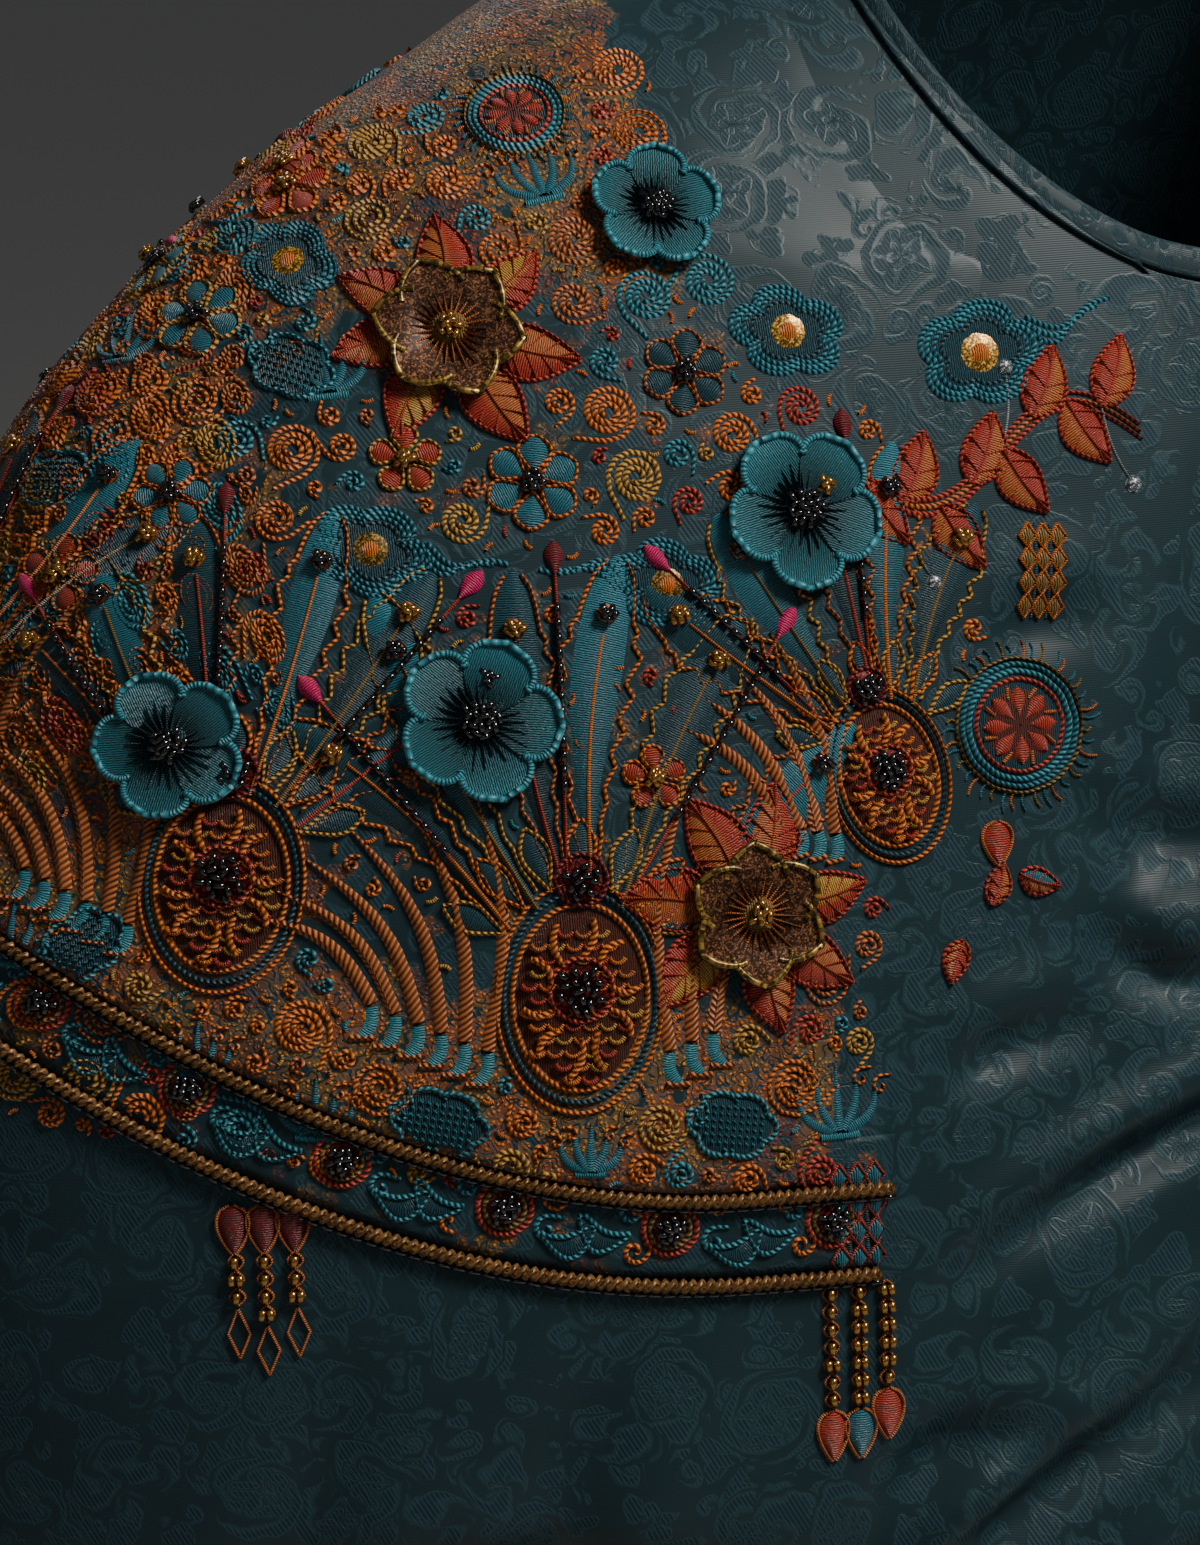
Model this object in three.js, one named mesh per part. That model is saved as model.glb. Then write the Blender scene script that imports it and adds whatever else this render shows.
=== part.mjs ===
import * as THREE from 'three';

// Silk vest: dropped shoulders, a two-tier embroidered cap over each shoulder, buttoned front.
// Millimetres, Z up, front towards -Y, wearer's right towards -X.
// The origin lies midway between the two points where the neckline meets the shoulder seams.

// Cloth walls and the space between neighbouring pieces
const CLOTH = 1.5;
const TIER_CLOTH = 1.2;
const GAP = 0.3;

// Worn form: deepest at chest level, closing to nothing at the overarm seam
const CHEST_Z = -360;
const FRONT_DEPTH = 118;
const BACK_DEPTH = 112;

// Overarm seam, from the open end of the shoulder up to the neck
const OVERARM = [
  { x: 272, z: -312 }, { x: 271, z: -275 }, { x: 268, z: -235 },
  { x: 260, z: -190 }, { x: 241, z: -145 }, { x: 222, z: -105 },
  { x: 188, z: -68 }, { x: 140, z: -34 }, { x: 75, z: 0 },
];

// Underarm: front and back are drawn together here between the armhole and the body
const UNDERARM_X = 168;
const UNDERARM_WIDTH = 38;
const UNDERARM_TOP = -285;
const UNDERARM_FOOT = -352;

// Neckline
const NECK_HALF = 75;
const NECK_DROP_FRONT = 75;
const NECK_DROP_BACK = 20;

// Front closure: the right front laps over the left and is lifted clear of it
const LAP = 11;
const LAP_LIFT = CLOTH + 2 * GAP;
const LAP_RAMP = 16;

// Hem
const HEM_Z = -645;
const HEM_HALF = 195;
const HEM_DEPTH_FRONT = 122;
const HEM_DEPTH_BACK = 116;
const HEM_BANDS = 5;

// Rows of the panels, from chest level to the neck. Each runs from the centre out to the overarm
// seam: front and back give its height at the centre, or turn its place in degrees round the
// neckline, outer its height at the seam, level the share that stays level, rise how sharply it
// climbs after that.
const ROWS = [
  { front: -360, back: -360, outer: -312, level: 0.30, rise: 2 },
  { front: -324, back: -322, outer: -281, level: 0.36, rise: 2 },
  { front: -290, back: -287, outer: -246, level: 0.42, rise: 2 },
  { front: -262, back: -259, outer: -212, level: 0.46, rise: 2 },
  { front: -241.7, back: -240, outer: -185, level: 0.49, rise: 2 },
  { front: -226, back: -224, outer: -169, level: 0.497, rise: 2 },
  { front: -217, back: -214, outer: -160.5, level: 0.49, rise: 2 },
  { front: -196, back: -190, outer: -139, level: 0.45, rise: 2 },
  { front: -168, back: -155, outer: -113, level: 0.38, rise: 1.85 },
  { front: -138, back: -115, outer: -87, level: 0.30, rise: 1.7 },
  { front: -107, back: -70, outer: -63, level: 0.20, rise: 1.5 },
  { front: -74.2, back: -20, outer: -42, level: 0.10, rise: 1.3 },
  { turn: 10, outer: -36.5, level: 0.07, rise: 1.2 },
  { turn: 23, outer: -30, level: 0.04, rise: 1.1 },
  { turn: 37, outer: -23.5, level: 0, rise: 1 },
  { turn: 52, outer: -16.5, level: 0, rise: 1 },
  { turn: 69, outer: -9, level: 0, rise: 1 },
  { turn: 87, outer: -1.7, level: 0, rise: 1 },
];
const NECK_ROW = 11;
const TOP_ROW = ROWS.length - 1;
const LOWER_HEM_ROW = 4;
const CAP_HEM_ROW = 5;
const TUCK_ROW = 6;
const CAP_TOP_ROW = 16;

// Columns of the panels in degrees, from the centre to the overarm seam at 90
const COLUMNS = [0, 5, 9, 16, 23.6, 30, 34.5, 37.6, 39.3, 41.5, 46, 52, 59, 66.5, 75, 83, 90];
const UNDERARM_COLUMN = 8;
const CAP_COLUMN = 4;

// Twisted rope under each tier hem
const ROPE_RADIUS = 1.35;
const ROPE_SIDES = 8;

// Neck band
const BAND_HEIGHT = 6;
const BAND_THICK = 2;
const BAND_LEAN = 0.35;

// Covered buttons on the centre line
const BUTTON_RADIUS = 7.5;
const BUTTON_THICK = 3;
const BUTTON_Z = [-96, -212, -328, -444, -560];

// Raised blossoms of one cap: row and column as above (columns past 90 lie on the back),
// radius of the petals, turn in degrees
const PETALS = 5;
const BLOSSOM_THICK = 1.2;
const BLOSSOMS = [
  { row: 10.8, column: 49, radius: 10, turn: 10, kind: 'silk' },
  { row: 9.6, column: 33, radius: 12.5, turn: 40, kind: 'silk' },
  { row: 9.9, column: 58, radius: 11.5, turn: -15, kind: 'bronze' },
  { row: 8.2, column: 47, radius: 12.5, turn: 25, kind: 'silk' },
  { row: 7.6, column: 31.5, radius: 11.0, turn: 0, kind: 'bronze' },
  { row: 7.4, column: 64, radius: 11.5, turn: 55, kind: 'silk' },
  { row: 10.3, column: 124, radius: 11.5, turn: 20, kind: 'silk' },
  { row: 8.4, column: 138, radius: 12.0, turn: -10, kind: 'bronze' },
  { row: 7.6, column: 115, radius: 12.0, turn: 35, kind: 'silk' },
];

const radians = THREE.MathUtils.degToRad;
const mix = THREE.MathUtils.lerp;

// Smooth curve through evenly numbered values
function through(values) {
  const last = values.length - 1;
  const slope = values.map((v, i) => {
    const a = Math.max(i - 1, 0);
    const b = Math.min(i + 1, last);
    return (values[b] - values[a]) / (b - a);
  });
  return (at) => {
    const i = Math.min(Math.max(Math.floor(at), 0), last - 1);
    const u = at - i;
    return (2 * u ** 3 - 3 * u ** 2 + 1) * values[i] + (u ** 3 - 2 * u ** 2 + u) * slope[i]
      + (3 * u ** 2 - 2 * u ** 3) * values[i + 1] + (u ** 3 - u ** 2) * slope[i + 1];
  };
}

// Width of the overarm seam at a height, a smooth curve through unevenly spaced rows
function overarm(z) {
  const last = OVERARM.length - 1;
  const slope = (i) => {
    const a = OVERARM[Math.max(i - 1, 0)];
    const b = OVERARM[Math.min(i + 1, last)];
    return (b.x - a.x) / (b.z - a.z);
  };
  let i = 0;
  while (i < last - 1 && z > OVERARM[i + 1].z) i += 1;
  const gap = OVERARM[i + 1].z - OVERARM[i].z;
  const u = (z - OVERARM[i].z) / gap;
  return (2 * u ** 3 - 3 * u ** 2 + 1) * OVERARM[i].x + (u ** 3 - 2 * u ** 2 + u) * gap * slope(i)
    + (3 * u ** 2 - 2 * u ** 3) * OVERARM[i + 1].x + (u ** 3 - u ** 2) * gap * slope(i + 1);
}

// The overarm seam as distances from the chest centre, at even steps of its height
const SEAM_STEPS = 312;
const SEAM = Array.from({ length: SEAM_STEPS + 1 }, (_, i) => {
  const z = mix(OVERARM[0].z, 0, i / SEAM_STEPS);
  const x = overarm(z);
  return { angle: Math.atan2(z - CHEST_Z, x), reach: Math.hypot(x, z - CHEST_Z) };
});

// Beyond the neck point the reach eases off over this many radians
const NECK_EASE = 0.07;

function reachAt(angle) {
  if (angle <= SEAM[0].angle) return OVERARM[0].x / Math.cos(angle);
  const [before, neck] = SEAM.slice(-2);
  if (angle >= neck.angle) {
    const slope = (neck.reach - before.reach) / (neck.angle - before.angle);
    return neck.reach + slope * NECK_EASE * (1 - Math.exp((neck.angle - angle) / NECK_EASE));
  }
  let low = 0;
  let high = SEAM_STEPS;
  while (high - low > 1) {
    const middle = (low + high) >> 1;
    if (SEAM[middle].angle <= angle) low = middle; else high = middle;
  }
  const u = (angle - SEAM[low].angle) / (SEAM[high].angle - SEAM[low].angle);
  return mix(SEAM[low].reach, SEAM[high].reach, u);
}

// How far a place lies from the chest centre, as a share of the way to the overarm seam
function shareAt(x, z) {
  const across = Math.abs(x);
  return Math.hypot(across, z - CHEST_Z) / reachAt(Math.atan2(z - CHEST_Z, across));
}

// Depth of the worn form at a place on the front or back
function depthAt(x, z, depth) {
  const across = Math.abs(x);
  const share = shareAt(x, z);
  const drawn = THREE.MathUtils.smoothstep(-z, -UNDERARM_TOP, -UNDERARM_FOOT)
    * Math.exp(-(Math.abs((across - UNDERARM_X) / UNDERARM_WIDTH) ** 1.6));
  return depth * Math.sqrt(Math.max(0, 1 - share * share)) * (1 - 0.975 * drawn);
}

const centreRows = ROWS.slice(0, NECK_ROW + 1);
const frontLapTurn = -THREE.MathUtils.radToDeg(Math.asin(LAP / NECK_HALF));
const frontHeight = through(centreRows.map((row) => row.front));
const backHeight = through(centreRows.map((row) => row.back));
const neckTurns = ROWS.slice(NECK_ROW + 1).map((row) => row.turn);
const frontTurn = through([frontLapTurn, ...neckTurns]);
const backTurn = through([0, ...neckTurns]);
const outerHeight = through(ROWS.map((row) => row.outer));
const levelShare = through(ROWS.map((row) => row.level));
const riseShape = through(ROWS.map((row) => row.rise));

// A point of the worn form by row and column. Columns 0 to 90 are the front, 90 to 180 the back.
function onForm(row, column) {
  const isBack = column > 90;
  const share = Math.sin(radians(isBack ? 180 - column : column));
  let x = isBack ? 0 : -LAP;
  let z = 0;
  if (row <= NECK_ROW) {
    z = (isBack ? backHeight : frontHeight)(row);
  } else {
    const turn = radians((isBack ? backTurn : frontTurn)(row - NECK_ROW));
    x = NECK_HALF * Math.sin(turn);
    z = -(isBack ? NECK_DROP_BACK : NECK_DROP_FRONT) * Math.cos(turn);
  }
  const outer = outerHeight(row);
  const level = levelShare(row);
  const climb = Math.max(0, (share - level) / (1 - level)) ** riseShape(row);
  x = mix(x, overarm(outer), share);
  z = mix(z, outer, climb);
  const y = depthAt(x, z, isBack ? BACK_DEPTH : FRONT_DEPTH) * (isBack ? 1 : -1);
  return new THREE.Vector3(x, column === 90 ? 0 : y, z);
}

// Outward direction of the form at one of its points
function outAt(point) {
  const { x, y, z } = point;
  const depth = y > 0 ? BACK_DEPTH : FRONT_DEPTH;
  const share = shareAt(x, z);
  return new THREE.Vector3(
    share * (shareAt(x + 0.5, z) - shareAt(x - 0.5, z)),
    y / depth ** 2,
    share * (shareAt(x, z + 0.5) - shareAt(x, z - 0.5)),
  ).normalize();
}

// Directions of the form at a row and column: along the row, up the rows and outward
function frameAt(row, column) {
  const a = Math.min(row + 0.1, TOP_ROW);
  const b = Math.max(row - 0.1, 0);
  const up = onForm(a, column).sub(onForm(b, column));
  const along = onForm(row, Math.min(column + 1, 179)).sub(onForm(row, Math.max(column - 1, 1)));
  return { up, along, out: outAt(onForm(row, column)) };
}

// A sheet of cloth as numbered points and triangles
function newSheet() {
  return { points: [], triangles: [] };
}

function joinGrid(sheet, ids) {
  for (let i = 0; i + 1 < ids.length; i += 1) {
    for (let j = 0; j + 1 < ids[i].length; j += 1) {
      sheet.triangles.push([ids[i][j], ids[i][j + 1], ids[i + 1][j + 1]]);
      sheet.triangles.push([ids[i][j], ids[i + 1][j + 1], ids[i + 1][j]]);
    }
  }
}

// Outward direction at each point of a sheet; at a seam the wall stands square to the seam
function outward(sheet) {
  const sums = sheet.points.map(() => new THREE.Vector3());
  for (const [a, b, c] of sheet.triangles) {
    const n = new THREE.Vector3().crossVectors(
      sheet.points[b].clone().sub(sheet.points[a]),
      sheet.points[c].clone().sub(sheet.points[a]),
    );
    for (const i of [a, b, c]) sums[i].add(n);
  }
  return sums.map((n, i) => {
    if (Math.abs(sheet.points[i].y) < GAP) n.y = 0;
    return n.normalize();
  });
}

// Closed solid between two faces that share triangles: the outer face, the inner face and walls
function solid(outer, inner, triangles) {
  const count = outer.length;
  const index = [];
  const edges = new Map();
  for (const [a, b, c] of triangles) {
    index.push(a, b, c, count + c, count + b, count + a);
    for (const [p, q] of [[a, b], [b, c], [c, a]]) {
      const twin = `${q},${p}`;
      if (edges.has(twin)) edges.delete(twin); else edges.set(`${p},${q}`, [p, q]);
    }
  }
  for (const [p, q] of edges.values()) index.push(q, p, count + p, q, count + p, count + q);
  const geometry = new THREE.BufferGeometry().setFromPoints([...outer, ...inner]);
  geometry.setIndex(index);
  return geometry;
}

// A sheet made into cloth of a given thickness whose outer face lies the given height above it
function clothFrom(sheet, normals, height, thickness) {
  const heightAt = typeof height === 'function' ? height : () => height;
  const outer = sheet.points.map((p, i) => p.clone().addScaledVector(normals[i], heightAt(i)));
  const inner = outer.map((p, i) => p.clone().addScaledVector(normals[i], -thickness));
  return solid(outer, inner, sheet.triangles);
}

function flipX(geometry) {
  geometry.scale(-1, 1, 1);
  const index = geometry.getIndex().array;
  for (let i = 0; i < index.length; i += 3) [index[i], index[i + 1]] = [index[i + 1], index[i]];
  return geometry;
}

// Seam edges keep half a gap to the middle plane
function offSeam(point, side) {
  point.y = side * Math.max(Math.abs(point.y), GAP / 2);
  return point;
}

// Lower body: from the chest row straight down to the hem, whose side seams lie below the underarm
function belowChest(top, underarm, share, side) {
  const x = (top.x * HEM_HALF) / underarm.x;
  const round = Math.sqrt(Math.max(0, 1 - (x / HEM_HALF) ** 2));
  const hem = new THREE.Vector3(x, side * (side < 0 ? HEM_DEPTH_FRONT : HEM_DEPTH_BACK) * round, HEM_Z);
  return top.clone().lerp(hem, share);
}

// Half of a panel on the +X side, as rows of point numbers added to the sheet
function addHalfPanel(sheet, side) {
  const columns = side < 0 ? COLUMNS : COLUMNS.map((c) => 180 - c);
  const upper = ROWS.map((_, r) => columns.map((c) => {
    sheet.points.push(offSeam(onForm(r, c), side));
    return sheet.points.length - 1;
  }));
  const body = upper[0].slice(0, UNDERARM_COLUMN + 1);
  const lower = [body];
  for (let k = 1; k <= HEM_BANDS; k += 1) {
    lower.push(body.map((id) => {
      const underarm = sheet.points[body[UNDERARM_COLUMN]];
      sheet.points.push(offSeam(belowChest(sheet.points[id], underarm, k / HEM_BANDS, side), side));
      return sheet.points.length - 1;
    }));
  }
  return { upper, lower };
}

function turnOutward(sheet) {
  const centre = new THREE.Vector3(0, 0, CHEST_Z);
  let sum = 0;
  for (const [a, b, c] of sheet.triangles) {
    const n = new THREE.Vector3().crossVectors(
      sheet.points[b].clone().sub(sheet.points[a]),
      sheet.points[c].clone().sub(sheet.points[a]),
    );
    sum += n.dot(sheet.points[a].clone().sub(centre));
  }
  if (sum < 0) sheet.triangles.forEach((t) => t.reverse());
}

// One front. The upper one is lifted over the other along the closure.
function frontPanel(lifted) {
  const sheet = newSheet();
  const { upper, lower } = addHalfPanel(sheet, -1);
  joinGrid(sheet, upper);
  joinGrid(sheet, [...lower].reverse());
  turnOutward(sheet);
  const lift = (i) => (lifted ? lapLift(sheet.points[i].x) : 0);
  return clothFrom(sheet, outward(sheet), lift, CLOTH);
}

// The back, both halves in one piece
function backPanel() {
  const sheet = newSheet();
  const { upper, lower } = addHalfPanel(sheet, 1);
  const own = sheet.points.length;
  const mirrored = [];
  for (let i = 0; i < own; i += 1) {
    const p = sheet.points[i];
    if (Math.abs(p.x) < 1e-9) {
      mirrored.push(i);
    } else {
      mirrored.push(sheet.points.length);
      sheet.points.push(new THREE.Vector3(-p.x, p.y, p.z));
    }
  }
  joinGrid(sheet, upper);
  joinGrid(sheet, [...lower].reverse());
  const half = sheet.triangles.map((t) => [...t]);
  for (const [a, b, c] of half) sheet.triangles.push([mirrored[c], mirrored[b], mirrored[a]]);
  turnOutward(sheet);
  return clothFrom(sheet, outward(sheet), 0, CLOTH);
}

// Columns of a cap: front edge, over the shoulder, back edge
const CAP_COLUMNS = [
  ...COLUMNS.slice(CAP_COLUMN),
  ...COLUMNS.slice(CAP_COLUMN, -1).reverse().map((c) => 180 - c),
];

// A tier made from the panels' own points between two rows, moved out
function tier(rows, heights) {
  const sheet = newSheet();
  const normals = [];
  const lift = [];
  const ids = rows.map((r, k) => CAP_COLUMNS.map((c) => {
    sheet.points.push(onForm(r, c));
    normals.push(frameAt(r, c).out);
    lift.push(heights[k] + TIER_CLOTH);
    return sheet.points.length - 1;
  }));
  joinGrid(sheet, ids);
  turnOutward(sheet);
  return clothFrom(sheet, normals, (i) => lift[i], TIER_CLOTH);
}

const CAP_LIFT = GAP + TIER_CLOTH + GAP;
const capRows = ROWS.map((_, r) => r).slice(CAP_HEM_ROW, CAP_TOP_ROW + 1);
const capHeights = capRows.map((r) => (r <= TUCK_ROW ? CAP_LIFT : GAP));

// Rope along a tier hem: a tube that hangs just under the edge
function rope(row, height) {
  const rings = CAP_COLUMNS.map((c) => {
    const { up, out } = frameAt(row, c);
    const down = up.addScaledVector(out, -up.dot(out)).normalize().negate();
    const centre = onForm(row, c).addScaledVector(out, height).addScaledVector(down, ROPE_RADIUS + GAP);
    return Array.from({ length: ROPE_SIDES }, (_, k) => {
      const turn = (2 * Math.PI * (k + 0.5)) / ROPE_SIDES;
      return centre.clone()
        .addScaledVector(out, ROPE_RADIUS * Math.cos(turn))
        .addScaledVector(down, ROPE_RADIUS * Math.sin(turn));
    });
  });
  return tube(rings);
}

// Closed tube through rings of equal count, with flat ends
function tube(rings) {
  const sides = rings[0].length;
  const points = rings.flat();
  const index = [];
  for (let i = 0; i + 1 < rings.length; i += 1) {
    for (let k = 0; k < sides; k += 1) {
      const a = i * sides + k;
      const b = i * sides + ((k + 1) % sides);
      index.push(a, b, b + sides, a, b + sides, a + sides);
    }
  }
  const end = (rings.length - 1) * sides;
  for (let k = 1; k + 1 < sides; k += 1) {
    index.push(0, k + 1, k);
    index.push(end, end + k, end + k + 1);
  }
  const geometry = new THREE.BufferGeometry().setFromPoints(points);
  geometry.setIndex(index);
  return faceOut(geometry);
}

// Turns every triangle when the enclosed volume comes out negative
function faceOut(geometry) {
  const p = geometry.getAttribute('position');
  const index = geometry.getIndex().array;
  const [a, b, c] = [new THREE.Vector3(), new THREE.Vector3(), new THREE.Vector3()];
  let volume = 0;
  for (let i = 0; i < index.length; i += 3) {
    a.fromBufferAttribute(p, index[i]);
    b.fromBufferAttribute(p, index[i + 1]);
    c.fromBufferAttribute(p, index[i + 2]);
    volume += a.dot(b.cross(c));
  }
  if (volume < 0) {
    for (let i = 0; i < index.length; i += 3) [index[i], index[i + 1]] = [index[i + 1], index[i]];
  }
  return geometry;
}

// Lift of the overlapping front at a distance from the centre, measured towards its own side
function lapLift(across) {
  return LAP_LIFT * (1 - THREE.MathUtils.smoothstep(across, LAP + 2, LAP + 2 + LAP_RAMP));
}

// Neck band: a low stand on the panels' neckline, its two ends meeting at the closure
function neckBand() {
  const rows = ROWS.map((_, r) => r).slice(NECK_ROW);
  const front = rows.map((r) => onForm(r, 0));
  const back = rows.map((r) => onForm(r, 180));
  const start = (LAP + 2 * GAP - front[0].x) / (front[1].x - front[0].x);
  const left = [front[0].clone().lerp(front[1], start), ...front.slice(1), ...back.reverse()];
  const mirror = (p) => new THREE.Vector3(-p.x, p.y, p.z);
  const right = [...back.slice(0, -1).map(mirror).reverse(), ...[...front].reverse().map(mirror)];
  const rings = [...left, ...right].map((point, i) => {
    const lift = i >= left.length && point.y < 0 ? lapLift(-point.x) : 0;
    const out = new THREE.Vector3(point.x, point.y + (point.y > 0 ? 10 : 0), 0).normalize();
    const rise = new THREE.Vector3(-BAND_LEAN * out.x, -BAND_LEAN * out.y, 1).normalize();
    const face = out.addScaledVector(rise, -out.dot(rise)).normalize();
    const foot = point.clone().addScaledVector(rise, 2 * GAP).addScaledVector(outAt(point), lift);
    return [[0.2, 0], [0.2, 1], [-0.8, 1], [-0.8, 0]].map(([t, h]) => foot.clone()
      .addScaledVector(face, t * BAND_THICK).addScaledVector(rise, h * BAND_HEIGHT));
  });
  return tube(rings);
}

// Covered button: a low dome on the lifted front
function button(z) {
  let y = -depthAt(0, z, FRONT_DEPTH);
  let tilt = new THREE.Vector3(0, -depthAt(0, z + 5, FRONT_DEPTH) + depthAt(0, z - 5, FRONT_DEPTH), 10);
  if (z < CHEST_Z) {
    y = mix(-FRONT_DEPTH, -HEM_DEPTH_FRONT, (CHEST_Z - z) / (CHEST_Z - HEM_Z));
    tilt = new THREE.Vector3(0, HEM_DEPTH_FRONT - FRONT_DEPTH, CHEST_Z - HEM_Z);
  }
  const out = new THREE.Vector3(0, -1, 0).addScaledVector(tilt.normalize(), tilt.y).normalize();
  const profile = [[0, 0], [6.6, 0], [7.5, 0.7], [7.5, 1.6], [6.4, 2.5], [3.6, 3], [0, 3]];
  const geometry = new THREE.LatheGeometry(profile.map(([r, h]) => new THREE.Vector2(
    (r / 7.5) * BUTTON_RADIUS, (h / 3) * BUTTON_THICK)), 16);
  geometry.applyQuaternion(new THREE.Quaternion().setFromUnitVectors(new THREE.Vector3(0, 1, 0), out));
  const seat = new THREE.Vector3(0, y, z).addScaledVector(out, LAP_LIFT + GAP);
  geometry.translate(seat.x, seat.y, seat.z);
  return geometry;
}

// Raised blossom: five round petals, laid on the cap
function blossom({ row, column, radius, turn }) {
  const { up, along, out } = frameAt(row, column);
  const perRow = up.multiplyScalar(5);
  const perColumn = along.multiplyScalar(0.5);
  const across = perColumn.clone().normalize();
  const upward = new THREE.Vector3().crossVectors(out, across).normalize();
  const m = [perColumn.dot(across), perRow.dot(across), perColumn.dot(upward), perRow.dot(upward)];
  const det = m[0] * m[3] - m[1] * m[2];
  const place = (a, b) => {
    const c = column + (m[3] * a - m[1] * b) / det;
    const r = row + (m[0] * b - m[2] * a) / det;
    return { point: onForm(r, c), out: frameAt(r, c).out };
  };
  const around = PETALS * 4;
  const spots = [{ share: 0, w: 0 }];
  for (const ring of [0.5, 1]) {
    for (let k = 0; k < around; k += 1) spots.push({ share: ring, w: (2 * Math.PI * k) / around });
  }
  const placed = spots.map(({ share, w }) => {
    const petal = Math.abs(Math.cos((PETALS * w) / 2));
    const reach = radius * share * (share < 1 ? 1 : 0.62 + 0.38 * Math.sqrt(petal));
    return place(reach * Math.cos(w + radians(turn)), reach * Math.sin(w + radians(turn)));
  });
  const triangles = [];
  for (let k = 0; k < around; k += 1) {
    const a = 1 + k;
    const b = 1 + ((k + 1) % around);
    triangles.push([0, a, b], [a, a + around, b + around], [a, b + around, b]);
  }
  const sheet = { points: placed.map((s) => s.point), triangles };
  turnOutward(sheet);
  const base = GAP + TIER_CLOTH + GAP;
  return clothFrom(sheet, placed.map((s) => s.out), base + BLOSSOM_THICK, BLOSSOM_THICK);
}

function material(color, roughness, metalness) {
  return new THREE.MeshStandardMaterial({ color, roughness, metalness });
}

const SILK = material(0x1c3a42, 0.42, 0);
const ROPE_GOLD = material(0xa9773a, 0.45, 0.35);
const BLOSSOM_SILK = material(0x2f8f97, 0.45, 0);
const BLOSSOM_BRONZE = material(0x9a6a4c, 0.5, 0.3);

const vest = new THREE.Group();
vest.name = 'silk_vest';

function add(name, geometry, look) {
  const mesh = new THREE.Mesh(geometry, look);
  mesh.name = name;
  vest.add(mesh);
}

add('front_left', frontPanel(false), SILK);
add('front_right', flipX(frontPanel(true)), SILK);
add('back', backPanel(), SILK);
for (const hand of ['left', 'right']) {
  const own = (geometry) => (hand === 'left' ? geometry : flipX(geometry));
  add(`shoulder_cap_${hand}`, own(tier(capRows, capHeights)), SILK);
  add(`lower_tier_${hand}`, own(tier([LOWER_HEM_ROW, CAP_HEM_ROW, TUCK_ROW], [GAP, GAP, GAP])), SILK);
  add(`cap_piping_${hand}`, own(rope(CAP_HEM_ROW, CAP_LIFT + ROPE_RADIUS + 0.05)), ROPE_GOLD);
  add(`tier_piping_${hand}`, own(rope(LOWER_HEM_ROW, GAP + ROPE_RADIUS)), ROPE_GOLD);
  BLOSSOMS.forEach((spot, i) => add(`blossom_${hand}_${i + 1}`, own(blossom(spot)),
    spot.kind === 'silk' ? BLOSSOM_SILK : BLOSSOM_BRONZE));
}
add('neck_band', neckBand(), SILK);
BUTTON_Z.forEach((z, i) => add(`button_${i + 1}`, button(z), SILK));

export default vest;
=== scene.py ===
# %% [markdown]
# # A silk vest with embroidered shoulder caps
#
# The vest is worn and filled out, seen close to its right shoulder. The lesson goes from
# the frame and the camera to the worn form, the flat pattern that every stitch is drawn on, the
# cloth, its weave, the embroidery, the beads and ropes, and the light. Lengths are millimetres
# until the meshes are made, and the flat pattern is measured along the cloth from the chest centre.

# %% Load the frame
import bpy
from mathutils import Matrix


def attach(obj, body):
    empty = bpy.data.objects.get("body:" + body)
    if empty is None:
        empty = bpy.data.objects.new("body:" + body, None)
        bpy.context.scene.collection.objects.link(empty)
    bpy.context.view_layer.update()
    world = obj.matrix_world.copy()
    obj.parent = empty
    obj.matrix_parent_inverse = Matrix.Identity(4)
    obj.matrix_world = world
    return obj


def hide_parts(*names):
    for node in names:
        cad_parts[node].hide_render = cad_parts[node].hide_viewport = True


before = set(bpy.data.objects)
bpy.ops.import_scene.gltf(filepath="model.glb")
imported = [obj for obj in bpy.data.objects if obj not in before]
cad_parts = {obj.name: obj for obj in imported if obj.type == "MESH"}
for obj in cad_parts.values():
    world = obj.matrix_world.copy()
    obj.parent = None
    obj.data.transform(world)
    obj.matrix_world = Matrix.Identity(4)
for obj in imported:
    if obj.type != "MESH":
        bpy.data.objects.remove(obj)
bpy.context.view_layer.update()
import math
import bmesh
import bpy
import numpy as np
from mathutils import Matrix, Vector

MM = 0.001
scene = bpy.context.scene

# %% [markdown]
# ## The camera
# It stands low on the vest's right and looks slightly down at the shoulder cap, 0.9 m away.

# %% Place the camera
def aim_camera(azimuth, elevation, distance, target, lens):
    """Camera on a sphere round the target; its axes are worked out from the two angles."""
    a, e = math.radians(azimuth), math.radians(elevation)
    back = np.array([math.sin(a) * math.cos(e), -math.cos(a) * math.cos(e), math.sin(e)])
    right = np.array([math.cos(a), math.sin(a), 0.0])
    up = np.cross(back, right)
    data = bpy.data.cameras.new("camera")
    data.lens, data.sensor_width = lens, 36.0
    camera = bpy.data.objects.new("camera", data)
    scene.collection.objects.link(camera)
    eye = np.array(target) + back * distance
    rows = [[right[i], up[i], back[i], eye[i]] for i in range(3)] + [[0, 0, 0, 1]]
    camera.matrix_world = Matrix([[float(v) for v in row] for row in rows])
    scene.camera = camera
    return camera


camera = aim_camera(-23.8, 14.1, 0.9, (-0.1317, -0.060, -0.1574), 115.3)
print("camera", camera.name, "lens", round(camera.data.lens, 1), "mm")

# %% [markdown]
# ## The worn form
# Front and back bulge between a chest centre and the overarm seam. Each place (x, z) has a share:
# its distance from the chest centre over the distance to the seam in that direction. The depth is
# `y = depth * sqrt(1 - share^2)`, drawn in where front and back meet under the arm.

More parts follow.
